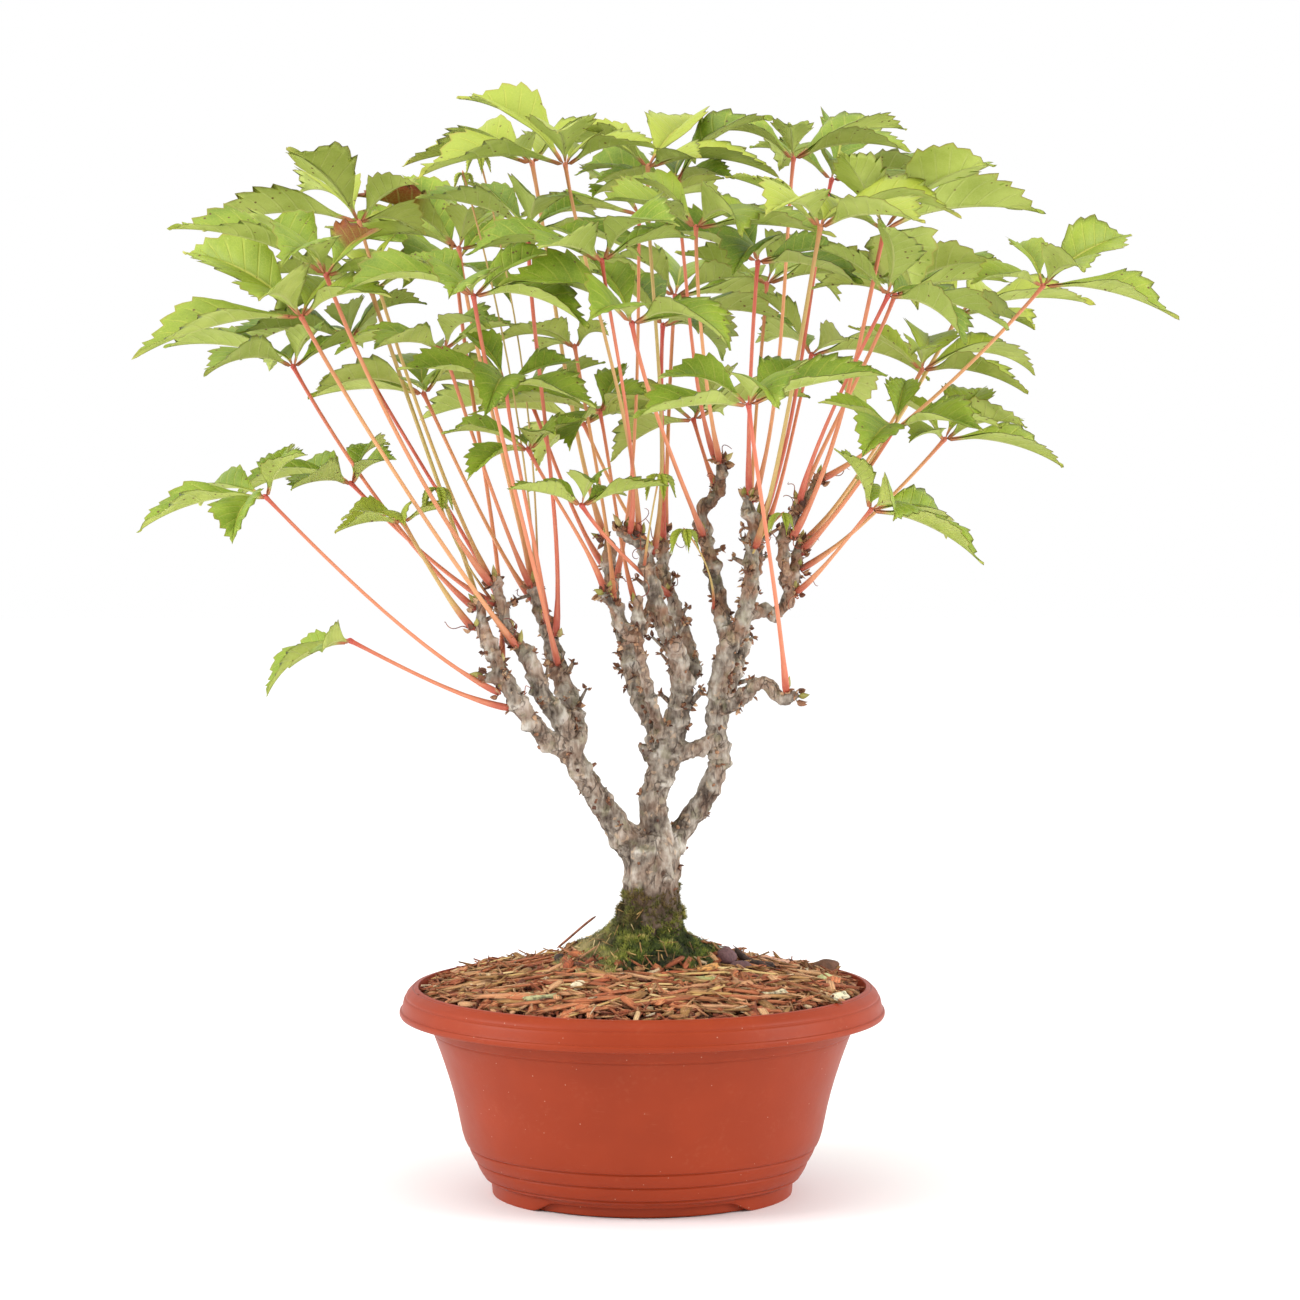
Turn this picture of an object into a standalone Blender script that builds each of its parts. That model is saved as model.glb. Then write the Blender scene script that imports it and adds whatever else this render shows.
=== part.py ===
"""A five-leaved creeper grown as a bonsai, in a round plastic training bowl.

Metres, +Z up, the front of the plant towards -Y. The bowl is turned, the tree is a set of
tapering limbs grown into one, and each compound leaf is one closed solid of its own: a stalk,
a small hub and up to five leaflets. Potting mix, mulch and moss fill the bowl.
"""

import itertools
import math
from collections import namedtuple

import bmesh
import bpy
import numpy as np
from mathutils import Matrix, Vector, noise
from mathutils.bvhtree import BVHTree

MM = 0.001

# ---------------------------------------------------------------- driving sizes: the bowl
POT_HEIGHT = 0.1075
MOUTH_RADIUS = 0.1155
LIP_OVERHANG = 0.0097
LIP_DEPTH = 0.0145
LIP_LEDGE = 0.0013
NECK_INSET = 0.0045
SHOULDER_RADIUS = 0.0930
SHOULDER_HEIGHT = 0.0305
FOOT_RADIUS = 0.0775
FOOT_WIDTH = 0.0032
FOOT_ARCH_HEIGHT = 0.0058
FOOT_ARCH_HALF_ANGLE = math.radians(41)
WALL = 0.0022
FLOOR_HEIGHT = 0.0085
FLOOR_THICKNESS = 0.0026
STEP_RINGS = 3
STEP_LEDGE = 0.0010
HOLE_RADIUS = 0.0055
HOLE_CIRCLE = 0.046
HOLES = 6
SEGMENTS = 40

# ---------------------------------------------------------------- what fills the bowl
LAYER_GAP = 0.0004
MULCH_BELOW_RIM = 0.0030
MULCH_MOUND = 0.0150
MULCH_DEPTH = 0.0080
MOSS_RADIUS = 0.0430
MOSS_HEIGHT = 0.0370
MOSS_SLEEVE = 0.0042
GROUND_WAVE = 0.0012
WAVE_FADE = 0.020
EDGE_WAVE = 0.0035

# ---------------------------------------------------------------- the tree
GROWTH = 1.0
TRUNK_RADIUS = 0.0140
ROOT_FLARE = 0.0100
ROOT_CLEARANCE = 0.0009
ROOT_REACH = 0.062
ROOTS = 5
KNOB_SPACING = 0.0105
KNOB_SHARE = 0.10
BARK_CELL = 0.0015
BARK_KEPT = 0.042

# ---------------------------------------------------------------- the leaves
LEAF_SCALE = 1.0
LEAFLET_WIDTH_SHARE = 0.46
LEAFLET_THICKNESS = 0.0009
LEAFLET_FOLD = math.radians(28)
LEAFLET_RISE = math.radians(34)
LEAFLET_DROOP = math.radians(14)
STALK_RADIUS = 0.0013
STALK_FOOT_RADIUS = 0.0024
HUB_RADIUS = 0.0022
HUB_THICKNESS = 0.0022
BARK_GAP = 0.0004
LEAF_CLEARANCE = 0.0011

# Limbs: points of x, y, height above the soil at the trunk, and radius, in millimetres.
LIMBS = {
    "left": ((3, 0, 58, 9.5), (-8, -2, 71, 8.2), (-21, -6, 91, 6.6), (-33, -10, 110, 6.2),
             (-38, -11, 121, 6.0)),
    "left_inner": ((-37, -11, 118, 5.8), (-33, -6, 129, 5.3), (-40, 0, 148, 5.2),
                   (-45, 5, 168, 4.5), (-53, 10, 190, 3.7), (-56, 12, 202, 3.0)),
    "left_middle": ((-38, -11, 120, 5.5), (-41, -14, 134, 5.2), (-50, -16, 146, 5.0),
                    (-58, -14, 166, 4.4), (-68, -12, 179, 3.8), (-75, -10, 206, 3.0)),
    "left_outer": ((-38, -12, 118, 5.2), (-47, -20, 124, 4.8), (-56, -25, 134, 4.6),
                   (-64, -28, 146, 4.4), (-70, -27, 156, 4.2), (-75, -25, 168, 3.7),
                   (-81, -22, 180, 3.3), (-82, -20, 196, 2.8)),
    "left_stub": ((-71, -27, 156, 3.2), (-77, -30, 158, 2.8), (-81, -31, 157, 2.3)),
    "middle": ((4, 0, 58, 9.5), (6, 1, 78, 7.6), (5, 1, 91, 7.2), (11, 2, 108, 7.8),
               (14, 2, 119, 7.4), (20, 0, 144, 6.3), (19, -3, 160, 5.6), (16, -6, 171, 5.2),
               (10, -8, 186, 4.6), (4, -10, 207, 4.1), (0, -11, 223, 3.6), (-8, -13, 228, 3.3),
               (-13, -14, 233, 2.9)),
    "middle_stub": ((6, 0, 112, 4.0), (1, -4, 118, 3.2), (0, -5, 121, 2.6)),
    "low_shoot": ((12, -4, 124, 4.2), (7, -11, 135, 3.5), (4, -14, 149, 3.2), (-1, -16, 166, 3.0),
                  (-2, -17, 181, 2.9), (-1, -18, 197, 2.5)),
    "side_twig": ((-1, -17, 175, 2.7), (-7, -20, 178, 2.7), (-12, -22, 185, 2.6),
                  (-16, -23, 195, 2.5), (-21, -24, 200, 2.3)),
    "second_shoot": ((20, 2, 146, 4.6), (26, 10, 160, 4.0), (20, 15, 182, 3.6),
                     (13, 17, 201, 3.3), (10, 18, 212, 3.0), (10, 18, 223, 2.6)),
    "right": ((7, 2, 56, 9.0), (14, 6, 66, 7.4), (23, 9, 79, 6.2), (32, 8, 91, 5.9),
              (38, 5, 106, 5.8), (40, 3, 116, 5.8), (38, 1, 128, 5.6), (39, 0, 150, 5.3),
              (42, -2, 166, 5.0), (50, -4, 181, 4.7), (55, -5, 197, 4.4), (56, -6, 218, 4.0),
              (57, -6, 233, 3.5), (52, -6, 249, 2.9)),
    "crossing": ((13, 0, 115, 4.4), (24, -4, 118, 4.2), (32, -5, 120, 4.2), (39, -1, 126, 4.4)),
    "centre": ((44, -2, 170, 4.2), (41, 6, 186, 4.3), (37, 10, 207, 4.2), (33, 11, 223, 4.0),
               (31, 10, 239, 3.7), (39, 8, 249, 3.4), (41, 7, 267, 2.9)),
    "low_right": ((39, -2, 138, 4.4), (47, -10, 142, 4.0), (55, -15, 150, 3.8),
                  (63, -18, 154, 3.6), (71, -21, 145, 3.4), (76, -24, 147, 3.2),
                  (79, -26, 150, 2.6)),
    "right_low": ((53, -4, 186, 3.8), (60, 2, 189, 3.4), (68, 4, 187, 3.3), (75, 4, 194, 3.2),
                  (77, 4, 202, 3.1), (81, 5, 225, 2.6)),
    "right_high": ((76, 4, 196, 3.0), (73, -3, 212, 3.2), (72, -6, 228, 3.1), (78, -8, 239, 3.0),
                   (87, -8, 251, 2.8), (89, -7, 258, 2.4)),
    "back_left": ((12, 4, 112, 6.0), (6, 18, 128, 5.4), (-4, 30, 150, 4.9), (-10, 38, 174, 4.3),
                  (-16, 46, 198, 3.7), (-18, 52, 224, 3.0)),
    "back_right": ((39, 2, 132, 5.0), (44, 16, 146, 4.7), (50, 28, 166, 4.3), (54, 38, 190, 3.8),
                   (60, 44, 212, 3.4), (61, 50, 236, 2.8)),
    "back_fork": ((-8, 35, 166, 4.2), (2, 46, 182, 3.8), (10, 54, 204, 3.4), (12, 62, 228, 2.8)),
}

# Leaves: the twig and how far along it the stalk leaves, the hub (millimetres, as for limbs),
# the way the end leaflet heads and how far it nods (degrees), its length, and how many leaflets.
Leaf = namedtuple("Leaf", "twig along hub heading nod length leaflets")
LEAVES = (
    Leaf("left_middle", 0.55, (-173, -20, 335), 180, 12, 90, 5),
    Leaf("left_inner", 0.50, (-83, -78, 351), 262, 12, 78, 5),
    Leaf("low_right", 0.85, (52, -102, 298), 282, 16, 78, 5),
    Leaf("centre", 0.60, (-6, -86, 335), 250, 14, 78, 5),
    Leaf("right_high", 0.98, (203, -15, 356), 345, 16, 72, 5),
    Leaf("left_outer", 0.50, (-187, -45, 253), 195, 26, 68, 5),
    Leaf("left_outer", 0.40, (-148, -32, 177), 205, 46, 54, 3),
    Leaf("right_low", 0.55, (116, -28, 243), 335, 36, 66, 5),
    Leaf("right_low", 0.75, (154, 8, 280), 2, 14, 66, 5),
    Leaf("right_high", 0.50, (113, -28, 393), 352, -4, 88, 5),
    Leaf("second_shoot", 0.60, (-33, -74, 257), 245, 16, 50, 5),
    Leaf("left_middle", 0.92, (-152, -64, 356), 194, 2, 84, 5),
    Leaf("left_middle", 0.99, (-142, 14, 388), 178, 0, 82, 5),
    Leaf("left_outer", 0.95, (-181, 42, 314), 168, 8, 72, 5),
    Leaf("left_middle", 0.86, (-150, 22, 254), 186, 22, 66, 5),
    Leaf("left_outer", 0.82, (-119, -22, 238), 215, 26, 40, 4),
    Leaf("middle", 0.93, (-38, -48, 416), 205, 4, 82, 5),
    Leaf("middle", 0.86, (3, -10, 416), 70, -4, 74, 5),
    Leaf("centre", 0.97, (27, -54, 385), 285, 16, 76, 5),
    Leaf("right", 0.86, (78, -60, 393), 300, 12, 80, 5),
    Leaf("right_high", 0.80, (132, -66, 344), 322, 4, 70, 5),
    Leaf("right_low", 0.92, (127, -40, 285), 318, 18, 62, 5),
    Leaf("left_inner", 0.78, (-71, -42, 311), 248, 20, 62, 5),
    Leaf("left_inner", 0.97, (-99, 4, 320), 228, 16, 62, 4),
    Leaf("left_outer", 0.70, (-141, 66, 353), 152, 10, 74, 5),
    Leaf("right", 0.97, (78, 36, 421), 32, 6, 74, 5),
    Leaf("right", 0.92, (62, -22, 366), 290, 12, 74, 5),
    Leaf("right_high", 0.70, (132, 62, 351), 28, 10, 74, 5),
    Leaf("side_twig", 0.95, (-62, -24, 272), 214, 18, 50, 5),
    Leaf("low_shoot", 0.93, (-22, 24, 292), 190, 16, 60, 5),
    Leaf("side_twig", 0.75, (-40, 26, 322), 165, 12, 46, 5),
    Leaf("middle", 0.97, (-27, -72, 374), 262, 14, 74, 5),
    Leaf("second_shoot", 0.93, (11, 62, 335), 62, 12, 76, 5),
    Leaf("centre", 0.85, (28, 58, 286), 78, 16, 70, 5),
    Leaf("right_low", 0.98, (146, 54, 312), 26, 12, 72, 5),
    Leaf("left_inner", 0.90, (-115, 76, 298), 142, 16, 74, 5),
    Leaf("left_inner", 0.99, (-98, 72, 377), 136, 2, 76, 5),
    Leaf("left_inner", 0.70, (-62, -30, 384), 250, 12, 72, 5),
    Leaf("left_middle", 0.72, (-160, 104, 333), 146, 10, 76, 5),
    Leaf("left_outer", 0.75, (-118, 112, 360), 122, 6, 74, 5),
    Leaf("centre", 0.92, (22, 30, 411), 100, -4, 70, 5),
    Leaf("back_left", 0.80, (-11, 72, 401), 104, 4, 74, 5),
    Leaf("back_left", 0.98, (-58, 88, 420), 132, 6, 76, 5),
    Leaf("back_left", 0.90, (-62, 122, 296), 138, 16, 74, 5),
    Leaf("back_fork", 0.85, (-30, 84, 287), 112, 16, 68, 5),
    Leaf("back_fork", 0.97, (18, 138, 350), 92, 10, 78, 5),
    Leaf("back_right", 0.80, (62, 126, 352), 70, 10, 78, 5),
    Leaf("back_right", 0.97, (96, 86, 408), 50, 8, 76, 5),
    Leaf("back_right", 0.90, (92, 84, 329), 46, 14, 72, 5),
    Leaf("right_low", 0.85, (166, 88, 349), 36, 8, 74, 5),
)

# Leaflets of a leaf: bearing from the end leaflet, and length as a share of it.
LEAFLETS = ((0, 1.0), (62, 0.93), (128, 0.66), (232, 0.66), (298, 0.93))
LEFT_OUT = {5: (), 4: (3,), 3: (2, 3)}
# Sections of a leaflet: distance along it and half width, as shares of its length and width.
LEAFLET_SECTIONS = ((0.12, 0.07), (0.47, 0.88), (0.78, 0.72))
# Rings of a stalk: distance along it as a share, and radius.
STALK_RINGS = ((0.0, STALK_FOOT_RADIUS), (0.03, STALK_FOOT_RADIUS), (0.10, STALK_RADIUS * 1.15),
               (0.38, STALK_RADIUS), (0.70, STALK_RADIUS))


# ---------------------------------------------------------------- helpers
def clear_scene():
    for obj in list(bpy.data.objects):
        bpy.data.objects.remove(obj, do_unlink=True)


def material(name, colour, roughness, metallic=0.0):
    """A Principled material; the colour is written as sRGB, 0 to 255."""
    linear = [((value / 255 + 0.055) / 1.055) ** 2.4 for value in colour]
    made = bpy.data.materials.new(name)
    made.use_nodes = True
    shader = made.node_tree.nodes["Principled BSDF"]
    shader.inputs["Base Color"].default_value = (*linear, 1.0)
    shader.inputs["Roughness"].default_value = roughness
    shader.inputs["Metallic"].default_value = metallic
    made.diffuse_color = (*linear, 1.0)
    return made


def add_object(name, mesh, look):
    obj = bpy.data.objects.new(name, mesh)
    mesh.name = name
    if look:
        mesh.materials.append(look)
    bpy.context.scene.collection.objects.link(obj)
    return obj


def as_cutter(obj):
    obj.hide_render = True
    obj.display_type = "WIRE"
    return obj


def cut(obj, cutter):
    modifier = obj.modifiers.new("cut_by_" + cutter.name, "BOOLEAN")
    modifier.operation = "DIFFERENCE"
    modifier.solver = "EXACT"
    modifier.object = cutter


def evaluated_geometry(obj):
    """Points and polygons of the object as its modifiers leave it, in world space."""
    bpy.context.view_layer.update()
    evaluated = obj.evaluated_get(bpy.context.evaluated_depsgraph_get())
    mesh = evaluated.to_mesh()
    points = [obj.matrix_world @ vertex.co for vertex in mesh.vertices]
    polygons = [tuple(polygon.vertices) for polygon in mesh.polygons]
    evaluated.to_mesh_clear()
    return points, polygons


def turned(name, outline, look, closed=False, warp=None):
    """The outline, as points of radius and height, turned about Z. It runs from axis to axis or closes."""
    bm = bmesh.new()
    verts = [bm.verts.new((radius, 0.0, height)) for radius, height in outline]
    pairs = list(zip(verts, verts[1:]))
    if closed:
        pairs.append((verts[-1], verts[0]))
    edges = [bm.edges.new(pair) for pair in pairs]
    bmesh.ops.spin(bm, geom=verts + edges, cent=(0, 0, 0), axis=(0, 0, 1), dvec=(0, 0, 0),
                   angle=2 * math.pi, steps=SEGMENTS, use_merge=True, use_duplicate=False)
    bmesh.ops.remove_doubles(bm, verts=bm.verts[:], dist=1e-6)
    if warp:
        for vert in bm.verts:
            vert.co = warp(vert.co)
    bmesh.ops.recalc_face_normals(bm, faces=bm.faces[:])
    mesh = bpy.data.meshes.new(name)
    bm.to_mesh(mesh)
    bm.free()
    mesh.shade_smooth()
    mesh.set_sharp_from_angle(angle=math.radians(35))
    return add_object(name, mesh, look)


# ---------------------------------------------------------------- the bowl
def body_radius(height):
    """Outer radius of the flaring wall between the shoulder and the neck."""
    share = max(0.0, (height - SHOULDER_HEIGHT) / (neck_height() - SHOULDER_HEIGHT))
    return SHOULDER_RADIUS + (neck_radius() - SHOULDER_RADIUS) * share ** 1.4


def base_radius(height):
    """Outer radius of the stepped base, on its mean slope."""
    return FOOT_RADIUS + (SHOULDER_RADIUS - FOOT_RADIUS) * min(1.0, height / SHOULDER_HEIGHT)


def neck_height():
    return POT_HEIGHT - LIP_DEPTH - 0.0015


def neck_radius():
    return MOUTH_RADIUS - NECK_INSET


def wall_heights(count):
    top = neck_height()
    return [SHOULDER_HEIGHT + (top - SHOULDER_HEIGHT) * n / count for n in range(count + 1)]


def inside_outline():
    """Radius and height from the floor's edge up the inner wall to the mouth."""
    corner = 0.003
    rows = [(base_radius(FLOOR_HEIGHT) - WALL - corner, FLOOR_HEIGHT)]
    rows.append((base_radius(FLOOR_HEIGHT) - WALL, FLOOR_HEIGHT + corner))
    rows += [(body_radius(height) - WALL, height) for height in wall_heights(3)]
    rows.append((MOUTH_RADIUS - 0.0006, POT_HEIGHT - 0.0030))
    return rows


def bowl_inside(height):
    """Inner radius of the bowl at a height."""
    rows = inside_outline()
    return float(np.interp(height, [z for _, z in rows], [r for r, _ in rows]))


def lip_outline():
    """Over the rolled rim, down its sloping face to the ledge, and back under it to the neck."""
    rows = []
    reach = LIP_OVERHANG - LIP_LEDGE
    for step in range(5):
        angle = math.radians(90 - 84 * step / 4)
        rows.append((MOUTH_RADIUS + reach * math.cos(angle),
                     POT_HEIGHT - LIP_DEPTH * 0.86 * (1 - math.sin(angle))))
    edge = POT_HEIGHT - LIP_DEPTH
    rim = MOUTH_RADIUS + LIP_OVERHANG
    rows += [(rim, edge + 0.0016), (rim, edge), (rim - WALL, edge)]
    rows += [(rim - WALL - 0.0022, edge + LIP_DEPTH * 0.55),
             (MOUTH_RADIUS + 0.0018, POT_HEIGHT - WALL - 0.0008),
             (neck_radius() + 0.0026, edge + 0.0040)]
    return rows


def step_outline():
    """The soft rings that step in from the shoulder to the foot."""
    rows = []
    top = SHOULDER_HEIGHT - 0.0055
    bottom = FOOT_ARCH_HEIGHT + 0.0042
    heights = [top + (bottom - top) * n / (STEP_RINGS - 1) for n in range(STEP_RINGS)]
    for upper, lower in zip([SHOULDER_HEIGHT] + heights, heights):
        if upper < SHOULDER_HEIGHT:
            rows.append((base_radius((upper + lower) / 2) + STEP_LEDGE * 0.2, (upper + lower) / 2))
        rows.append((base_radius(lower) + STEP_LEDGE * 0.3, lower + STEP_LEDGE * 0.6))
        rows.append((base_radius(lower) - STEP_LEDGE * 0.6, lower))
    return rows


def bowl_outline():
    under = FLOOR_HEIGHT - FLOOR_THICKNESS
    rows = [(0.0, FLOOR_HEIGHT)] + inside_outline()
    rows += lip_outline()
    rows += [(body_radius(height), height) for height in reversed(wall_heights(4))]
    rows += step_outline()
    rows += [(FOOT_RADIUS + 0.0006, FOOT_ARCH_HEIGHT + 0.0012), (FOOT_RADIUS, 0.0)]
    recess = FOOT_RADIUS - FOOT_WIDTH
    rows += [(recess, 0.0), (recess - 0.0002, 0.0008), (recess - WALL, 0.0008)]
    rows += [(recess - WALL - 0.0006, under), (0.0, under)]
    return rows


def foot_arches(point):
    """Lifts the skirt of the foot between the two long feet, at the front and at the back."""
    radius = math.hypot(point.x, point.y)
    if point.z > 1e-4 or radius < FOOT_RADIUS - FOOT_WIDTH - 1e-4:
        return point
    off_axis = abs(math.atan2(point.x, abs(point.y)))
    if off_axis > FOOT_ARCH_HALF_ANGLE:
        return point
    return Vector((point.x, point.y, FOOT_ARCH_HEIGHT))


def make_drain_cutter():
    bm = bmesh.new()
    centres = [(0.0, 0.0)]
    for n in range(HOLES):
        angle = 2 * math.pi * (n + 0.5) / HOLES
        centres.append((HOLE_CIRCLE * math.cos(angle), HOLE_CIRCLE * math.sin(angle)))
    for x, y in centres:
        place = Matrix.Translation((x, y, FLOOR_HEIGHT - FLOOR_THICKNESS / 2))
        bmesh.ops.create_cone(bm, cap_ends=True, segments=12, radius1=HOLE_RADIUS,
                              radius2=HOLE_RADIUS, depth=FLOOR_THICKNESS * 2, matrix=place)
    mesh = bpy.data.meshes.new("drain_holes")
    bm.to_mesh(mesh)
    bm.free()
    return as_cutter(add_object("drain_holes", mesh, None))


def make_pot():
    pot = turned("pot", bowl_outline(), material("terracotta_plastic", (196, 84, 54), 0.48),
                 warp=foot_arches)
    cut(pot, make_drain_cutter())
    return pot


# ---------------------------------------------------------------- mix, mulch and moss
def mulch_edge_radius():
    return bowl_inside(POT_HEIGHT - MULCH_BELOW_RIM) - LAYER_GAP


def mulch_top(radius):
    share = min(1.0, radius / mulch_edge_radius())
    return POT_HEIGHT - MULCH_BELOW_RIM + MULCH_MOUND * (1 - share ** 2)


def soil_top(radius):
    return mulch_top(radius) - MULCH_DEPTH


def ground_wave(point):
    """Moves every layer alike, so that the gaps between them hold: an uneven top and moss edge."""
    radius = math.hypot(point.x, point.y)
    angle = math.atan2(point.y, point.x)
    near_edge = math.exp(-((radius - MOSS_RADIUS) / (0.30 * MOSS_RADIUS)) ** 2)
    grow = EDGE_WAVE * near_edge * (math.sin(2 * angle + 0.6) + 0.6 * math.sin(5 * angle))
    factor = 1 + grow / max(radius, 1e-6)
    inner = min(1.0, max(0.0, (bowl_inside(point.z) - LAYER_GAP - radius) / WAVE_FADE))
    high = min(1.0, max(0.0, (point.z - SHOULDER_HEIGHT) / (neck_height() - SHOULDER_HEIGHT)))
    lump = noise.noise(Vector((point.x * 40, point.y * 40, 0.3)))
    return Vector((point.x * factor, point.y * factor, point.z + GROUND_WAVE * lump * inner * high))


def ring_radii(first, last, count):
    return [first + (last - first) * n / count for n in range(count + 1)]


def make_potting_mix(root_space):
    moss = MOSS_RADIUS
    edge = bowl_inside(soil_top(mulch_edge_radius())) - LAYER_GAP
    rows = [(0.0, FLOOR_HEIGHT + LAYER_GAP)]
    rows += [(radius - LAYER_GAP, height + LAYER_GAP * (height < FLOOR_HEIGHT + 1e-6))
             for radius, height in inside_outline() if height < soil_top(edge) - LAYER_GAP]
    rows.append((edge, soil_top(edge)))
    for radius in reversed(ring_radii(moss, edge, 3)[:-1]):
        rows.append((radius, soil_top(radius)))
    rows += [(moss * 0.5, soil_top(moss * 0.5)), (0.0, soil_top(0.0))]
    mix = turned("potting_mix", rows, material("potting_mix", (74, 50, 38), 0.95),
                 warp=ground_wave)
    cut(mix, root_space)
    return mix


def make_mulch():
    edge = mulch_edge_radius()
    low_edge = bowl_inside(soil_top(edge)) - LAYER_GAP
    hole = MOSS_RADIUS + LAYER_GAP
    rows = [(radius, mulch_top(radius)) for radius in ring_radii(hole, edge, 4)]
    for radius in reversed(ring_radii(hole, low_edge, 3)):
        rows.append((radius, soil_top(radius) + LAYER_GAP))
    return turned("mulch_layer", rows, material("wood_chips", (176, 108, 66), 0.9),
                  closed=True, warp=ground_wave)


def make_moss(root_space):
    ground = soil_top(0.0)
    edge = mulch_top(MOSS_RADIUS) + 0.002
    neck = flare_radius(MOSS_HEIGHT) + MOSS_SLEEVE
    crest = ground + MOSS_HEIGHT
    rows = [(0.0, ground + LAYER_GAP), (MOSS_RADIUS * 0.5, soil_top(MOSS_RADIUS * 0.5) + LAYER_GAP),
            (MOSS_RADIUS, soil_top(MOSS_RADIUS) + LAYER_GAP), (MOSS_RADIUS, edge)]
    for step in range(1, 6):
        share = step / 5
        rows.append((neck + (MOSS_RADIUS - neck) * (1 - share) ** 1.7,
                     edge + (crest - edge) * share))
    rows.append((0.0, crest + 0.001))
    moss = turned("moss_cushion", rows, material("moss", (92, 104, 42), 0.95), warp=ground_wave)
    cut(moss, root_space)
    return moss


# ---------------------------------------------------------------- the tree
def flare_radius(height):
    """Radius of the trunk at a height above the soil: it swells towards the roots."""
    return TRUNK_RADIUS + ROOT_FLARE * math.exp(-max(0.0, height) / 0.016)


def trunk_rows():
    heights = [-0.018, -0.008, 0.0, 0.006, 0.013, 0.022, 0.034, 0.048, 0.062]
    rows = [(0.005, 0.0, height, flare_radius(height)) for height in heights]
    rows.append((0.005, 0.001, 0.073, TRUNK_RADIUS * 0.80))
    return rows


def root_rows(number):
    """One main root: it leaves the flare, dips and thins out in the potting mix."""
    angle = 2 * math.pi * number / ROOTS + 0.5
    rows = []
    for share, depth, radius in ((0.10, 0.010, 0.0100), (0.45, 0.016, 0.0065),
                                 (0.75, 0.026, 0.0045), (1.0, 0.038, 0.0030)):
        bend = angle + 0.25 * share * (-1) ** number
        reach = ROOT_REACH * share
        rows.append((0.005 + reach * math.cos(bend), reach * math.sin(bend), -depth, radius))
    return rows


def smooth_rows(rows, spacing):
    """Rows of x, y, z and radius at about this spacing, on a smooth curve through the given ones."""
    rows = np.array(rows, float)
    ends = np.vstack([2 * rows[0] - rows[1], rows, 2 * rows[-1] - rows[-2]])
    made = [rows[0]]
    for before, here, there, after in zip(ends, ends[1:], ends[2:], ends[3:]):
        steps = max(1, round(np.linalg.norm((there - here)[:3]) / spacing))
        for step in range(1, steps + 1):
            t = step / steps
            made.append(0.5 * (2 * here + (there - before) * t
                               + (2 * before - 5 * here + 4 * there - after) * t ** 2
                               + (3 * here - before - 3 * there + after) * t ** 3))
    return np.array(made)


def limb_rows(name):
    """A limb in metres, with the knobs that old leaf scars leave."""
    rows = smooth_rows(np.array(LIMBS[name]) * MM * GROWTH, 0.003)
    steps = np.linalg.norm(np.diff(rows[:, :3], axis=0), axis=1)
    run = np.concatenate([[0.0], np.cumsum(steps)])
    shift = len(name) * 1.7
    knobs = np.cos(2 * math.pi * run / KNOB_SPACING + shift) ** 3
    rows[:, 3] *= 1 + KNOB_SHARE * knobs
    return rows


def grown_together(name, parts, look):
    """Tapering limbs grown into one body."""
    curve = bpy.data.curves.new(name, "CURVE")
    curve.dimensions = "3D"
    curve.bevel_depth = 1.0
    curve.bevel_resolution = 2
    curve.use_fill_caps = True
    for rows in parts:
        spline = curve.splines.new("POLY")
        spline.points.add(len(rows) - 1)
        for point, (x, y, z, radius) in zip(spline.points, rows):
            point.co = (x, y, z + soil_top(0.0), 1.0)
            point.radius = radius
    limbs = bpy.data.objects.new(name + "_limbs", curve)
    bpy.context.scene.collection.objects.link(limbs)
    bpy.context.view_layer.update()
    graph = bpy.context.evaluated_depsgraph_get()
    mesh = bpy.data.meshes.new_from_object(limbs.evaluated_get(graph))
    bpy.data.objects.remove(limbs)
    obj = add_object(name, mesh, look)
    union = obj.modifiers.new("grow_together", "REMESH")
    union.mode = "VOXEL"
    union.voxel_size = BARK_CELL
    union.use_smooth_shade = True
    thin = obj.modifiers.new("thin_out", "DECIMATE")
    thin.ratio = BARK_KEPT
    return obj


def tree_parts():
    parts = [smooth_rows(trunk_rows(), 0.004)]
    parts += [smooth_rows(root_rows(number), 0.004) for number in range(ROOTS)]
    return parts + [limb_rows(name) for name in LIMBS]


def make_root_space():
    """The tree again, a clearance larger all round: what the mix and the moss leave free."""
    space = grown_together("root_space", tree_parts(), None)
    swell = space.modifiers.new("clearance", "DISPLACE")
    swell.direction = "NORMAL"
    swell.mid_level = 0.0
    swell.strength = ROOT_CLEARANCE
    return as_cutter(space)


def make_tree():
    return grown_together("tree", tree_parts(), material("bark", (128, 118, 106), 0.9))


# ---------------------------------------------------------------- leaves
def twig_place(name, along):
    """Centre, direction and radius of a limb at a share of its length."""
    rows = limb_rows(name)
    steps = np.linalg.norm(np.diff(rows[:, :3], axis=0), axis=1)
    run = np.concatenate([[0.0], np.cumsum(steps)])
    here = [np.interp(along * run[-1], run, rows[:, n]) for n in range(4)]
    back = [np.interp((along - 0.08) * run[-1], run, rows[:, n]) for n in range(3)]
    centre = Vector(here[:3]) + Vector((0, 0, soil_top(0.0)))
    direction = Vector(here[:3]) - Vector(back)
    return centre, direction.normalized(), here[3]


def leaf_frame(heading, nod, roll):
    """Columns: the way the end leaflet points, the leaf's left, and its upper side."""
    turn = Matrix.Rotation(math.radians(heading), 3, "Z")
    tip_down = Matrix.Rotation(math.radians(nod), 3, "Y")
    sideways = Matrix.Rotation(math.radians(roll), 3, "X")
    return turn @ tip_down @ sideways


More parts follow.
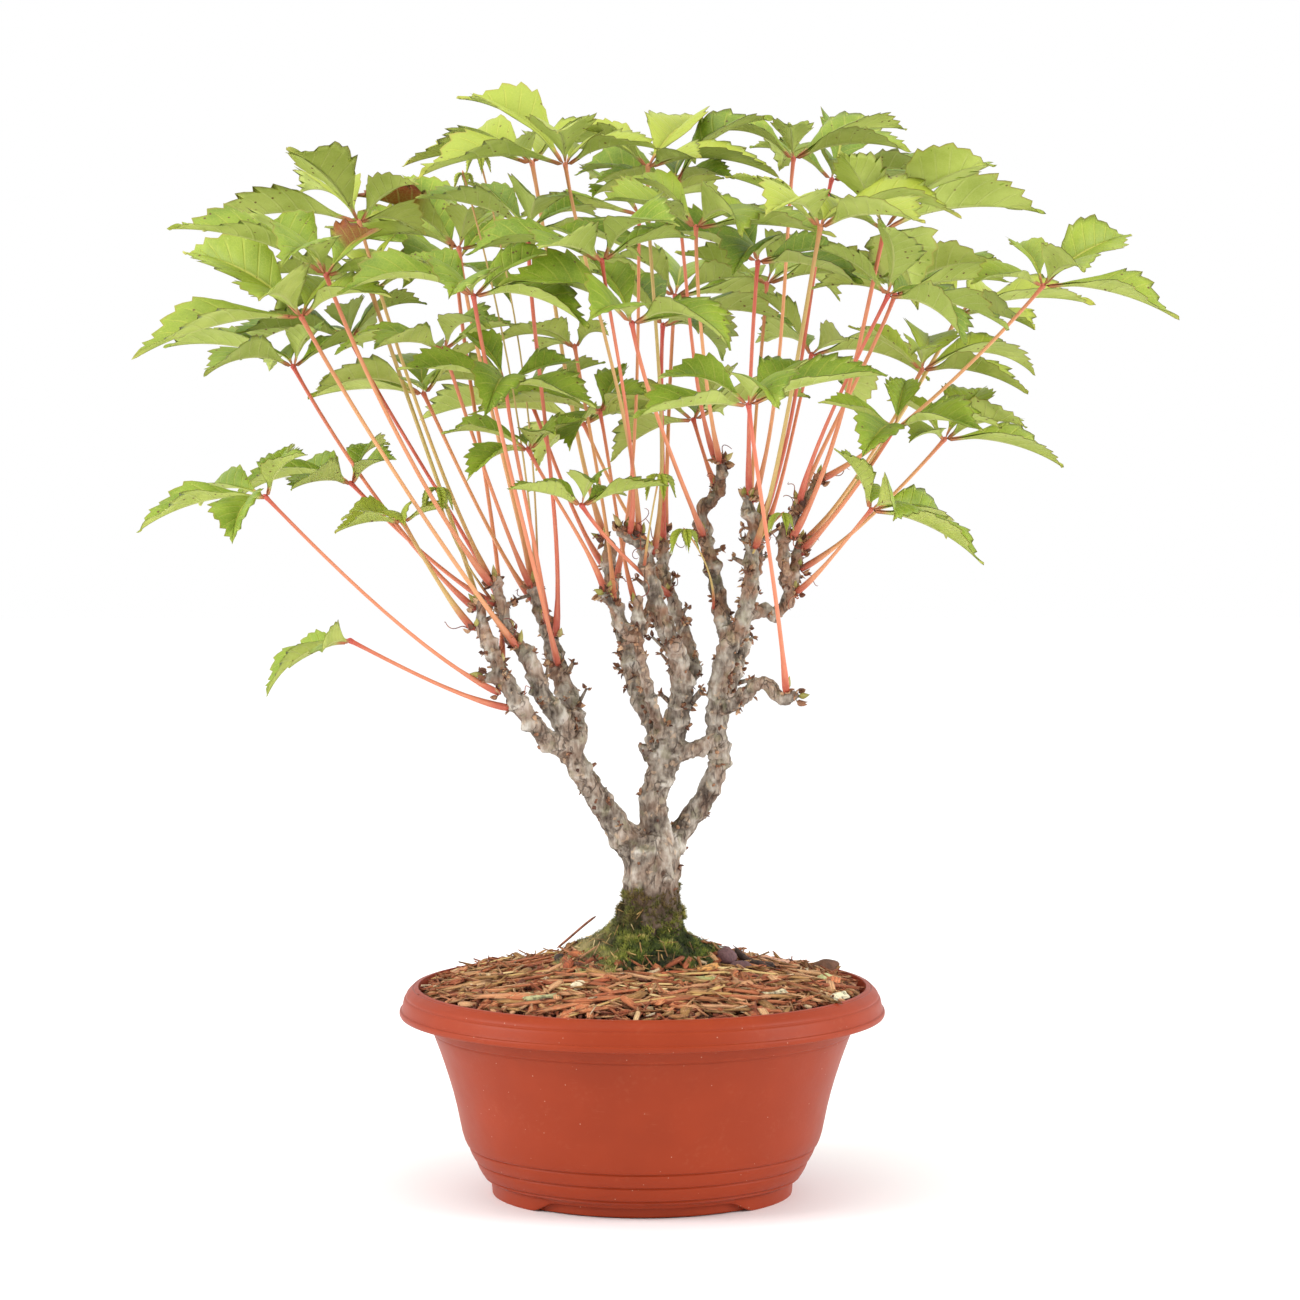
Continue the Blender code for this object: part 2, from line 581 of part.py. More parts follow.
def leaflet_arch(seed, number):
    """How steeply a leaflet rises from the hub, and how far its tip has turned below level."""
    rise = LEAFLET_RISE * (1 + 0.40 * math.sin(seed * 4.7 + number * 2.3))
    droop = LEAFLET_DROOP * (1 + 1.10 * math.sin(seed * 3.1 + number * 1.9))
    return rise, droop


def leaflet_points(hub, frame, bearing, length, arch, swell):
    """Four-point sections along one leaflet, then its tip: right, rib below, left, rib above."""
    across = frame @ Matrix.Rotation(math.radians(bearing), 3, "Z")
    forward, left, up = (across.col[n].copy() for n in range(3))
    rise, droop = arch
    bend = -(rise + droop)
    sections = []
    for along, share in LEAFLET_SECTIONS + ((1.0, 0.0),):
        pitch = rise + bend * along
        out = (math.sin(pitch) - math.sin(rise)) / bend
        lift = (math.cos(rise) - math.cos(pitch)) / bend
        centre = hub + forward * (length * out + HUB_RADIUS * 0.6) + up * length * lift
        if not share:
            sections.append(centre)
            continue
        above = up * math.cos(pitch) - forward * math.sin(pitch)
        half = LEAFLET_WIDTH_SHARE * length / 2 * share + swell
        side = left * half * math.cos(LEAFLET_FOLD)
        raised = above * half * math.sin(LEAFLET_FOLD)
        rib = above * (LEAFLET_THICKNESS / 2 + swell)
        sections.append((centre - side + raised, centre - rib, centre + side + raised, centre + rib))
    return sections


def stalk_centres(foot, out, hub, arrive):
    """Points and directions along the stalk, which leaves the twig outwards and bends to the hub."""
    span = (hub - foot).length
    toward = (hub - foot) / span
    first = foot + (out + toward * 1.4).normalized() * span * 0.28
    second = hub - arrive * span * 0.25
    shares = [share for share, _ in STALK_RINGS] + [1 - 0.0045 / span]
    places = []
    for share in shares:
        rest = 1 - share
        places.append(foot * rest ** 3 + first * 3 * rest ** 2 * share
                      + second * 3 * rest * share ** 2 + hub * share ** 3)
    directions = [out.copy()]
    for before, after in zip(places, places[2:]):
        directions.append((after - before).normalized())
    directions.append(arrive.copy())
    return places, directions


def leaf_body(foot, out, hub, frame, length, leaflets, seed, swell=0.0):
    """Points and triangles of one leaf: stalk, hub and leaflets as a single closed skin."""
    up = frame.col[2].copy()
    toward = (hub - foot).normalized()
    arrive = (toward + up * 0.45).normalized()
    places, directions = stalk_centres(foot, out, hub, arrive)
    radii = [radius for _, radius in STALK_RINGS] + [STALK_RADIUS * 1.2]
    bearings = [bearing for bearing, _ in LEAFLETS]
    corners = [(first + second + 360 * (second < first)) / 2
               for first, second in zip(bearings[-1:] + bearings, bearings)]
    spokes = [frame @ Matrix.Rotation(math.radians(corner), 3, "Z").col[0] for corner in corners]

    # The five spokes are carried down the stalk, turning as little as its direction does.
    rings = []
    carried = spokes
    before = up
    for place, direction, radius in zip(reversed(places), reversed(directions), reversed(radii)):
        turn = before.rotation_difference(direction)
        carried = [turn @ spoke for spoke in carried]
        before = direction
        rings.insert(0, [place + spoke * (radius + swell) for spoke in carried])

    points = [foot + out * 0.0005]
    triangles = []

    def add(new_points):
        points.extend(new_points)
        return list(range(len(points) - len(new_points), len(points)))

    def skin(lower, upper):
        """Triangles between two rings of as many points, split the same way all round."""
        count = len(lower)
        for n in range(count):
            m = (n + 1) % count
            triangles.append((lower[n], lower[m], upper[m]))
            triangles.append((lower[n], upper[m], upper[n]))

    last = add(rings[0])
    triangles.extend((0, last[(n + 1) % 5], last[n]) for n in range(5))
    for ring in rings[1:]:
        here = add(ring)
        skin(last, here)
        last = here
    half = up * (HUB_THICKNESS / 2 + swell)
    low = add([hub - half + spoke * (HUB_RADIUS + swell) for spoke in spokes])
    high = add([hub + half + spoke * (HUB_RADIUS + swell) for spoke in spokes])
    skin(last, low)
    crown = add([hub + half * 1.6])[0]
    triangles.extend((high[n], high[(n + 1) % 5], crown) for n in range(5))
    for n, (bearing, share) in enumerate(LEAFLETS):
        m = (n + 1) % 5
        quad = [low[n], low[m], high[m], high[n]]
        if n in LEFT_OUT[leaflets]:
            triangles.extend([(quad[0], quad[1], quad[2]), (quad[0], quad[2], quad[3])])
            continue
        *sections, tip = leaflet_points(hub, frame, bearing, length * share, leaflet_arch(seed, n), swell)
        for section in sections:
            here = add(section)
            skin(quad, here)
            quad = here
        end = add([tip])[0]
        triangles.extend((quad[k], quad[(k + 1) % 4], end) for k in range(4))
    return points, triangles


def small_changes():
    """Endless small changes of a leaf's pose, the gentlest first."""
    for step in itertools.count():
        reach = 0.16 * math.sqrt(step)
        phase = step * 2.399963
        yield {
            "heading": 14 * reach * math.sin(phase),
            "nod": 7 * reach * math.sin(phase * 1.7 + 1),
            "roll": 9 * reach * math.sin(phase * 2.3 + 2),
            "along": 0.03 * reach * math.sin(phase * 3.1),
            "shift": Vector((0.004 * math.sin(phase * 1.3), 0.012 * math.sin(phase * 0.7),
                             0.004 * math.sin(phase * 1.9))) * reach,
        }


def stalk_foot(leaf, hub, along, bark):
    """Where the stalk leaves the bark, on the side that looks to the hub."""
    centre, direction, radius = twig_place(leaf.twig, min(0.99, max(0.05, along)))
    toward = hub - centre
    out = (toward - direction * toward.dot(direction) * 0.75).normalized()
    hit = bark.ray_cast(centre + out * (radius + 0.015), -out)[0]
    return (hit or centre + out * radius) + out * BARK_GAP, out


def place_leaf(leaf, seed, taken, bark):
    """The leaf in the gentlest changed pose that keeps it clear of the bark and of other leaves."""
    length = leaf.length * MM * LEAF_SCALE
    base_roll = 12 * math.sin(seed * 2.9)
    level = Vector((0, 0, soil_top(0.0)))
    for change in small_changes():
        frame = leaf_frame(leaf.heading + change["heading"], leaf.nod + change["nod"],
                           base_roll + change["roll"])
        hub = Vector(leaf.hub) * MM * GROWTH + level + change["shift"]
        foot, out = stalk_foot(leaf, hub, leaf.along + change["along"], bark)
        wide = leaf_body(foot, out, hub, frame, length, leaf.leaflets, seed, LEAF_CLEARANCE)
        around = BVHTree.FromPolygons(*wide)
        if any(around.overlap(other) for other in taken):
            continue
        for push in range(6):
            start = foot + out * 0.0003 * push
            body = leaf_body(start, out, hub, frame, length, leaf.leaflets, seed)
            skin = BVHTree.FromPolygons(*body)
            if not skin.overlap(bark):
                taken.append(skin)
                return body


def make_leaves(tree):
    bark = BVHTree.FromPolygons(*evaluated_geometry(tree))
    taken = []
    made = []
    for number, leaf in enumerate(LEAVES, start=1):
        points, triangles = place_leaf(leaf, number, taken, bark)
        mesh = bpy.data.meshes.new("leaf")
        mesh.from_pydata(points, [], triangles)
        mesh.shade_smooth()
        shade = 10 * math.sin(number * 1.9)
        look = material(f"leaf_green_{number:02d}", (132 + shade, 164 + shade, 72), 0.55)
        made.append(add_object(f"leaf_{number:02d}", mesh, look))
    return made


# ---------------------------------------------------------------- the whole plant
def centre_over_origin():
    """Moves everything so that the origin is under the middle of the whole, on the ground."""
    shown = [obj for obj in bpy.data.objects if not obj.hide_render]
    points = np.vstack([np.array(evaluated_geometry(obj)[0]) for obj in shown])
    low, high = points.min(axis=0), points.max(axis=0)
    shift = Vector((-(low[0] + high[0]) / 2, -(low[1] + high[1]) / 2, -low[2]))
    for obj in bpy.data.objects:
        obj.location += shift


def main():
    clear_scene()
    make_pot()
    root_space = make_root_space()
    make_potting_mix(root_space)
    make_mulch()
    make_moss(root_space)
    make_leaves(make_tree())
    centre_over_origin()


main()
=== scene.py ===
# %% [markdown]
# # A creeper grown as a small tree, in a plastic bowl
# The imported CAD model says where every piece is. Each cell below takes one piece of the plant or
# the bowl, reads its place from that model, and builds the fine surface that the CAD leaves out.

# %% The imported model
import heapq
import math
import random

import bmesh
import bpy
import numpy as np
from mathutils import Matrix, Vector, noise
from mathutils.bvhtree import BVHTree


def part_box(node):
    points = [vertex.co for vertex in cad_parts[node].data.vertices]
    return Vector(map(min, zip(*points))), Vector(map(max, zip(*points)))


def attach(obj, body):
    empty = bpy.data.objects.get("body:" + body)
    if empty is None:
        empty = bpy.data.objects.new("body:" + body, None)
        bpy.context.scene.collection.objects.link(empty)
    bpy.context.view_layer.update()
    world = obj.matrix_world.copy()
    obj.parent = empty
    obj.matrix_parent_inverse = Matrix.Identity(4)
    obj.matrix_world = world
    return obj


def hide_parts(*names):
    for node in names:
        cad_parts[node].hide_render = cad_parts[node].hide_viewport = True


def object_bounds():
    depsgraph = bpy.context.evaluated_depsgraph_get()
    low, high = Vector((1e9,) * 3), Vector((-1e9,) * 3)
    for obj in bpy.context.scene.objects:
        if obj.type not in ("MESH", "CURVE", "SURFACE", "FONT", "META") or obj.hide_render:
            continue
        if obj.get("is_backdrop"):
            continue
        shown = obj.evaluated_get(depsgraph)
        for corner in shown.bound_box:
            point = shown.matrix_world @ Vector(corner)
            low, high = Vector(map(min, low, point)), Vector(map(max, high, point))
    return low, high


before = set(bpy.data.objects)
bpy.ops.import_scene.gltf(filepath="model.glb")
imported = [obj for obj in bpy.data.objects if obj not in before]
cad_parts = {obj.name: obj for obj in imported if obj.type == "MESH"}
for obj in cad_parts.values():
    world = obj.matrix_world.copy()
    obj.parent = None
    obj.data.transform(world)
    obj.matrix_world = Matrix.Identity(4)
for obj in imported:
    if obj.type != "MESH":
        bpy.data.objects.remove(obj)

MM = 0.001
cad_low, cad_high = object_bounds()
pot_low, pot_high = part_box("pot")
axis = (pot_low + pot_high) / 2
axis.z = 0.0
rim_top = pot_high.z
leaf_nodes = sorted(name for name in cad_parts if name.startswith("leaf_"))
print("CAD box", [round(value, 4) for value in (*cad_low, *cad_high)], "leaves", len(leaf_nodes))

# %% [markdown]
# ## Camera, floor and light
# The plant is seen from a little above the rim of its bowl, from far off, as through a long lens.

# %% Camera
CAMERA_BACK, CAMERA_HEIGHT, AIM_HEIGHT, AIM_RIGHT = 2.4, 0.474, 0.2805, 0.004
LENS, SENSOR = 130, 36  # in millimetres


def new_object(name, data):
    obj = bpy.data.objects.new(name, data)
    bpy.context.scene.collection.objects.link(obj)
    return obj


camera = new_object("camera", bpy.data.cameras.new("camera"))
camera.data.lens = LENS
camera.data.sensor_width = SENSOR
camera.location = axis + Vector((0, -CAMERA_BACK, CAMERA_HEIGHT))
aim = axis + Vector((AIM_RIGHT, 0, AIM_HEIGHT)) - camera.location
camera.rotation_euler = aim.to_track_quat("-Z", "Y").to_euler()
bpy.context.scene.camera = camera
bpy.context.scene.view_settings.view_transform = "Standard"
print("camera at", [round(value, 3) for value in camera.location])


# %% [markdown]
# Every material is a sum: noise and cells say where a colour, a gloss or a bump goes, and plain
# arithmetic joins them. So a value in a material is wrapped in a small class that Python's own
# plus, minus and times work on, and the lines below read as formulas.

# %% A value inside a material
class Wire:
    """A value inside a material, which Python's operators can work on."""

    def __init__(self, look, socket):
        self.look = look
        self.socket = socket

    def math(self, operation, first, second=0.0):
        return self.look.add("ShaderNodeMath", {"operation": operation}, {0: first, 1: second})

    def __add__(self, other):
        return self.math("ADD", self, other)

    __radd__ = __add__

    def __sub__(self, other):
        return self.math("SUBTRACT", self, other)

    def __rsub__(self, other):
        return self.math("SUBTRACT", other, self)

    def __mul__(self, other):
        return self.math("MULTIPLY", self, other)

    __rmul__ = __mul__

    def rises(self, low, high):
        """0 below low, 1 above high, and smooth between. It falls where low is the greater."""
        return self.look.add("ShaderNodeMapRange", {"interpolation_type": "SMOOTHSTEP"},
                             {"Value": self, "From Min": low, "From Max": high})


# %% [markdown]
# A look collects such values into one material. Its patterns are laid out in the object's own
# space or on the piece's own map, so that they stay on the piece wherever it goes.

# %% A material in the making
class Look:
    """A Principled material in the making. Lengths are in metres, colours in sRGB from 0 to 255."""

    def __init__(self, name, roughness, **sockets):
        self.material = bpy.data.materials.new(name)
        self.material.use_nodes = True
        self.tree = self.material.node_tree
        self.shader = self.tree.nodes["Principled BSDF"]
        self.shader.inputs["Roughness"].default_value = roughness
        for socket, value in sockets.items():
            self.shader.inputs[socket.replace("_", " ")].default_value = value
        self.place = self.add("ShaderNodeTexCoord", output="Object")

    def add(self, kind, settings=(), values=(), output=0):
        node = self.tree.nodes.new(kind)
        for key, value in dict(settings).items():
            if key == "stops":
                self.set_stops(node.color_ramp.elements, value)
            else:
                setattr(node, key, value)
        for key, value in dict(values).items():
            self.feed(node.inputs[key], value)
        return Wire(self, node.outputs[output])

    def feed(self, socket, value):
        if isinstance(value, Wire):
            self.tree.links.new(value.socket, socket)
        else:
            socket.default_value = value

    def set_stops(self, elements, stops):
        while len(elements) < len(stops):
            elements.new(0.5)
        for element, (position, colour) in zip(elements, stops):
            element.position = position
            element.color = shade(*colour)

    def grain(self, size, detail=2.0, stretch=(1, 1, 1), where=None):
        """Noise from 0 to 1 with patches of about this size."""
        mapped = self.add("ShaderNodeMapping", {}, {"Vector": where or self.place, "Scale": stretch})
        return self.add("ShaderNodeTexNoise", {}, {"Vector": mapped, "Scale": 1 / size, "Detail": detail})

    def cells(self, size, output="Distance", feature="F1", stretch=(1, 1, 1), wobble=0.0):
        """Cells of about this size: how far from their middles or edges, or one colour to each."""
        sway = self.add("ShaderNodeTexNoise", {}, {"Vector": self.place, "Scale": 0.7 / size}, "Color")
        moved = self.add("ShaderNodeVectorMath", {"operation": "MULTIPLY_ADD"},
                         {0: sway, 1: (wobble, wobble, wobble), 2: self.place})
        mapped = self.add("ShaderNodeMapping", {}, {"Vector": moved, "Scale": stretch})
        return self.add("ShaderNodeTexVoronoi", {"feature": feature},
                        {"Vector": mapped, "Scale": 1 / size}, output)

    def mix(self, mask, first, second):
        colours = [value if isinstance(value, Wire) else shade(*value) for value in (first, second)]
        return self.add("ShaderNodeMix", {"data_type": "RGBA"},
                        {0: mask, 6: colours[0], 7: colours[1]}, output=2)

    def ramp(self, value, *stops):
        return self.add("ShaderNodeValToRGB", {"stops": stops}, {"Fac": value})

    def attribute(self, name):
        return self.add("ShaderNodeAttribute", {"attribute_name": name}, output="Fac")

    def blotched(self, colour, tone, size, detail, low, high, share):
        """A colour with blotches of another tone of about this size on it."""
        return self.mix(self.grain(size, detail).rises(low, high) * share, colour, tone)

    def coordinate(self, n):
        """One coordinate of the place: 0 to the right, 2 upwards."""
        return self.add("ShaderNodeSeparateXYZ", {}, {0: self.place}, output=n)

    def along_and_round(self):
        """The two coordinates of the piece's own UV map."""
        spot = self.add("ShaderNodeTexCoord", output="UV")
        return [self.add("ShaderNodeSeparateXYZ", {}, {0: spot}, output=n) for n in (0, 1)]

    def finish(self, colour, bump=None, depth=0.0, roughness=None):
        self.feed(self.shader.inputs["Base Color"], colour)
        if roughness is not None:
            self.feed(self.shader.inputs["Roughness"], roughness)
        if bump is not None:
            relief = self.add("ShaderNodeBump", {}, {"Height": bump, "Distance": depth, "Strength": 1.0})
            self.feed(self.shader.inputs["Normal"], relief)
        return self.material


def shade(red, green, blue):
    """An sRGB colour as the linear values that Blender's sockets take."""
    return (*(((value / 255 + 0.055) / 1.055) ** 2.4 for value in (red, green, blue)), 1.0)


# %% [markdown]
# The floor and the surroundings are white, and the light is soft: a broad lamp at the left, one at
# the right and a weaker one above, so that the leaves shade each other gently.

# %% Floor and lamps
FLOOR_SIDE = 8.0
LIT_SPOT = Vector((0, 0, 0.3))
WHITE = (1, 1, 1, 1)
LAMPS = (  # name, place, side, watts
    ("lamp_left", (-2.1, -0.7, 1.2), 1.3, 38),
    ("lamp_right", (2.1, -0.6, 1.0), 1.3, 31),
    ("lamp_above", (-0.2, -0.3, 2.2), 1.4, 12),
)


def mesh_of(bm, name):
    mesh = bpy.data.meshes.new(name)
    bm.to_mesh(mesh)
    bm.free()
    return mesh


floor_shape = bmesh.new()
bmesh.ops.create_grid(floor_shape, x_segments=1, y_segments=1, size=FLOOR_SIDE / 2)
floor = new_object("floor", mesh_of(floor_shape, "floor"))
floor.data.materials.append(Look("white_floor", 0.7).finish(shade(253, 253, 253)))
floor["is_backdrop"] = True

for name, place, side, watts in LAMPS:
    lamp = new_object(name, bpy.data.lights.new(name, "AREA"))
    lamp.data.size = side
    lamp.data.energy = watts
    lamp.location = place
    lamp.rotation_euler = (LIT_SPOT - lamp.location).to_track_quat("-Z", "Y").to_euler()

world = bpy.data.worlds.new("white_room")
world.use_nodes = True
background = world.node_tree.nodes["Background"]
background.inputs["Color"].default_value = WHITE
background.inputs["Strength"].default_value = 1.0
bpy.context.scene.world = world
print("lamps", [name for name, *_ in LAMPS])


# %% [markdown]
# ## Helpers for shapes
# The CAD nodes are read as meshes with their triangles sewn together, and every finished mesh goes
# into the model through one helper, so that it always rides on the same body.

# %% From CAD node to finished piece
def merged(node):
    """A copy of a CAD node with its loose triangles sewn together."""
    bm = bmesh.new()
    bm.from_mesh(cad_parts[node].data)
    bmesh.ops.remove_doubles(bm, verts=bm.verts[:], dist=1e-6)
    return bm


def piece(name, mesh, looks, replaces=()):
    """Adds a finished mesh to the model."""
    obj = new_object(name, mesh)
    for look in looks:
        mesh.materials.append(look)
    mesh.shade_smooth()
    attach(obj, "root")
    if replaces:
        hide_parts(*replaces)
    return obj


# %% [markdown]
# A leaf, a stalk, a bud and a straw are all a sheet rolled up and closed at both ends. So one
# helper makes a grid, moves each of its points by a formula, and sews the seam and the two ends.

# %% A rolled sheet
def rolled(bm, rows, around, place, look=0):
    """A grid rolled into a closed skin: u runs from end to end and v once around, both from 0 to 1."""
    bm.loops.layers.uv.verify()
    verts = bmesh.ops.create_grid(bm, x_segments=rows, y_segments=around, size=0.5, calc_uvs=True)["verts"]
    spots = np.array([vert.co[:2] for vert in verts]) + 0.5
    for vert, point in zip(verts, place(spots[:, 0], spots[:, 1])):
        vert.co = point
    faces = list({face for vert in verts for face in vert.link_faces})
    for face in faces:
        face.material_index = look
    bmesh.ops.remove_doubles(bm, verts=verts, dist=1e-7)
    bmesh.ops.recalc_face_normals(bm, faces=[face for face in faces if face.is_valid])


def rolled_mesh(name, rows, around, place):
    bm = bmesh.new()
    rolled(bm, rows, around, place)
    return mesh_of(bm, name)


# %% [markdown]
# Wood, moss and mulch have no such formula. Their CAD shape is made into an even skin of small
# squares, and each point is then moved in or out by a height taken from noise.

# %% An even, rough skin
def evaluated(obj):
    """The mesh that an object's modifiers make. The object is used up."""
    bpy.context.view_layer.update()
    mesh = bpy.data.meshes.new_from_object(obj.evaluated_get(bpy.context.evaluated_depsgraph_get()))
    bpy.data.objects.remove(obj)
    return mesh


def remeshed(node, cell, turns):
    """A CAD node as an even skin of small squares, with its facets smoothed away."""
    obj = new_object(node + "_even", mesh_of(merged(node), node + "_even"))
    skin = obj.modifiers.new("even", "REMESH")
    skin.mode = "VOXEL"
    skin.voxel_size = cell
    soft = obj.modifiers.new("soft", "SMOOTH")
    soft.factor = 0.5
    soft.iterations = turns
    return evaluated(obj)


def smooth_step(values, low, high):
    share = np.clip((values - low) / (high - low), 0, 1)
    return share * share * (3 - 2 * share)


def vectors(collection, key):
    values = np.zeros(len(collection) * 3, np.float32)
    collection.foreach_get(key, values)
    return values.reshape(-1, 3).astype(float)


def add_values(mesh, name, values):
    mesh.attributes.new(name, "FLOAT", "POINT").data.foreach_set("value", np.asarray(values, np.float32))


def roughened(mesh, height):
    """Moves every point along its normal by a height in metres, which is kept as relief, in mm."""
    points = vectors(mesh.vertices, "co")
    normals = vectors(mesh.vertex_normals, "vector")
    heights = np.array([height(Vector(point)) for point in points])
    mesh.vertices.foreach_set("co", (points + normals * heights[:, None]).astype(np.float32).ravel())
    mesh.update()
    add_values(mesh, "relief", heights / MM)
    return mesh


# %% [markdown]
# Thousands of small pieces are copies of one small shape, each turned and moved on its own. All
# copies of a kind make one mesh, and a tint kept on its points gives each copy its own colour.

# %% Copies of a small shape
def scattered(name, shape, copies, look):
    """One piece that holds a copy of a small shape for each pair of a place and a tint."""
    bm = bmesh.new()
    for _ in copies:
        bm.from_mesh(shape)
    mesh = mesh_of(bm, name)
    each = len(shape.vertices)
    places, tints = zip(*copies)
    points = vectors(mesh.vertices, "co").reshape(len(copies), each, 3)
    moves = np.array([np.array(place) for place in places])
    points = np.einsum("nij,nkj->nki", moves[:, :3, :3], points) + moves[:, None, :3, 3]
    mesh.vertices.foreach_set("co", points.astype(np.float32).ravel())
    mesh.update()
    add_values(mesh, "tint", np.repeat(tints, each))
    return piece(name, mesh, [look])


def standing(place, up, heading, size):
    """A matrix that puts a shape at a place, its Z along up, turned by heading, and scaled."""
    turn = Vector((0, 0, 1)).rotation_difference(up).to_matrix().to_4x4()
    return (Matrix.Translation(place) @ turn @ Matrix.Rotation(heading, 4, "Z")
            @ Matrix.Diagonal((*size, 1.0)))


def tilted(up, most, chance):
    """A direction a little off another one."""
    return (up + Vector((chance.uniform(-most, most), chance.uniform(-most, most), 0))).normalized()


def any_turn(chance):
    """An angle for turning a copy at random."""
    return chance.uniform(0, 6.3)


def spots_on(mesh, count, chance):
    """Random places on a mesh with their normals, as many to each area."""
    mesh.calc_loop_triangles()
    weights = [triangle.area for triangle in mesh.loop_triangles]
    found = []
    for triangle in chance.choices(list(mesh.loop_triangles), weights=weights, k=count):
        corners = [mesh.vertices[n].co for n in triangle.vertices]
        shares = [chance.expovariate(1.0) for _ in corners]
        middle = sum((corner * share for corner, share in zip(corners, shares)), Vector())
        found.append((middle / sum(shares), triangle.normal.copy()))
    return found


# %% [markdown]
# ## The bowl
# The bowl is moulded in one piece from soft plastic: a broad sloping rim with a thin ledge under
# it, a flared wall, a shoulder with three soft rings below, and a foot cut up into an arch. It is
# a turned shape, so its outline is read from the CAD bowl, to be spun later.

# %% Outline of the CAD bowl
def outline_of(node):
    """Radius and height of a turned CAD node's points on the side towards +X, from floor to foot."""
    bm = merged(node)
    near = {vert for vert in bm.verts
            if abs(vert.co.y - axis.y) < 1e-5 and vert.co.x > axis.x + 0.06}
    links = {vert: [edge.other_vert(vert) for edge in vert.link_edges if edge.other_vert(vert) in near]
             for vert in near}
    ends = [vert for vert in near if len(links[vert]) == 1]
    walk = [max(ends, key=lambda vert: vert.co.z)]
    while True:
        ahead = [vert for vert in links[walk[-1]] if vert not in walk]
        if not ahead:
            break
        walk.append(min(ahead, key=lambda vert: (vert.co - walk[-1].co).length))
    found = [(vert.co.x - axis.x, vert.co.z) for vert in walk]
    bm.free()
    return found


cad_outline = outline_of("pot")
print("outline of the CAD bowl:", len(cad_outline), "points")


# %% [markdown]
# The real bowl is finer than the CAD one: its rim ends in a rolled bead, each step ring is undercut
# a little, and shallow grooves run round the rim and below it. They are added to the outline, which
# is cheaper and cleaner than cutting them into the spun shape.

# %% Bead, undercuts and grooves
LIP_ROLL = (  # out and up, in mm, from the rim's lower outer edge
    (-1.05, 2.5), (-0.3, 2.3), (0.0, 1.6), (0.0, 0.3), (-0.5, -0.7), (-1.3, -1.0), (-2.0, -0.3))
LIP_WIDE, LIP_HIGH = 0.0024, 0.0020
RINGS_BELOW = 0.030
RING_STEP = (0.0008, 0.0010)
RING_DROP = 0.0007
UNDERCUT = ((-0.0007, -0.0001), (-0.0001, -0.0010))
RADIUS, HEIGHT = 0, 1
GROOVES = ((RADIUS, 0.1178), (RADIUS, 0.1222), (HEIGHT, rim_top - 0.0235))
GROOVE_DEPTH, GROOVE_HALF = 0.0004, 0.0008
FOOT_ZONE, GROOVE_ZONE = 0.02, 0.04


def crisp(outline):
    """The outline with a rolled bead along the rim's lower edge and an undercut below each ring."""
    edge = max(radius for radius, height in outline)
    low = min(height for radius, height in outline if radius > edge - 1e-5)
    made, rolled_in = [], False
    for before, (radius, height) in zip([outline[0]] + outline, outline):
        on_ring = height < RINGS_BELOW and RING_STEP[0] < before[0] - radius < RING_STEP[1]
        if radius > edge - LIP_WIDE and height < low + LIP_HIGH:
            if not rolled_in:
                made += [(edge + out * MM, low + up * MM) for out, up in LIP_ROLL]
            rolled_in = True
        elif on_ring and before[1] - height < RING_DROP:
            made += [(radius + out, height + up) for out, up in UNDERCUT]
        else:
            made.append((radius, height))
    return made


def grooved(outline, which, value):
    """The outline with a shallow groove where its outer side passes a radius or a height."""
    made = [outline[0]]
    for before, here in zip(outline, outline[1:]):
        first, last = Vector(before), Vector(here)
        run = last - first
        on_outside = last.x >= first.x if which == RADIUS else last.y < first.y
        low, high = sorted((first[which], last[which]))
        if on_outside and low < value <= high and first.x > foot_reach and first.y > GROOVE_ZONE:
            spot = first + run * ((value - first[which]) / run[which])
            inward = Vector((run.y, -run.x)).normalized() * GROOVE_DEPTH
            along = run.normalized() * GROOVE_HALF
            made += [tuple(spot - along), tuple(spot + inward), tuple(spot + along)]
        made.append(here)
    return made


outline = crisp(cad_outline)
foot_reach = max(radius for radius, height in outline if height < FOOT_ZONE)
for which, value in GROOVES:
    outline = grooved(outline, which, value)
print("outline of the bowl:", len(outline), "points, from", outline[0], "to", outline[-1])


# %% [markdown]
# The foot's skirt is cut up into an arch. How high is read from the CAD bowl's lowest edge, all the
# way round, so that the fine bowl can be lifted by the same height at the same angle.

# %% The foot's arches
def foot_lift():
    """How far the bottom edge of the foot is lifted, all round, as angle and height."""
    bm = merged("pot")
    foot = max(math.hypot(vert.co.x - axis.x, vert.co.y - axis.y) for vert in bm.verts if vert.co.z < 1e-5)
    found = []
    for vert in bm.verts:
        spot = vert.co - axis
        if abs(math.hypot(spot.x, spot.y) - foot) < 1e-4 and spot.z < 0.0062:
            found.append((math.atan2(spot.y, spot.x), spot.z))
    bm.free()
    found.sort()
    angles, heights = zip(*found)
    return foot, np.array(angles), np.array(heights)


foot_radius, lift_angles, lift_heights = foot_lift()
skirt_top = min(height for radius, height in outline if radius > foot_radius and height > 0.004)
skirt_inside = min(radius for radius, height in outline if height < 1e-5)
print("foot radius", round(foot_radius, 4), "lifted up to", round(max(lift_heights), 4))


# %% [markdown]
# The outline is spun once round. Points close to each corner keep the corner crisp when a
# Subdivision Surface rounds the shape. Then the skirt is lifted into its arches.

# %% Spin the bowl
SPIN_STEPS = 120
CORNER_HOLD = 0.00045
CORNER_ANGLE = 24


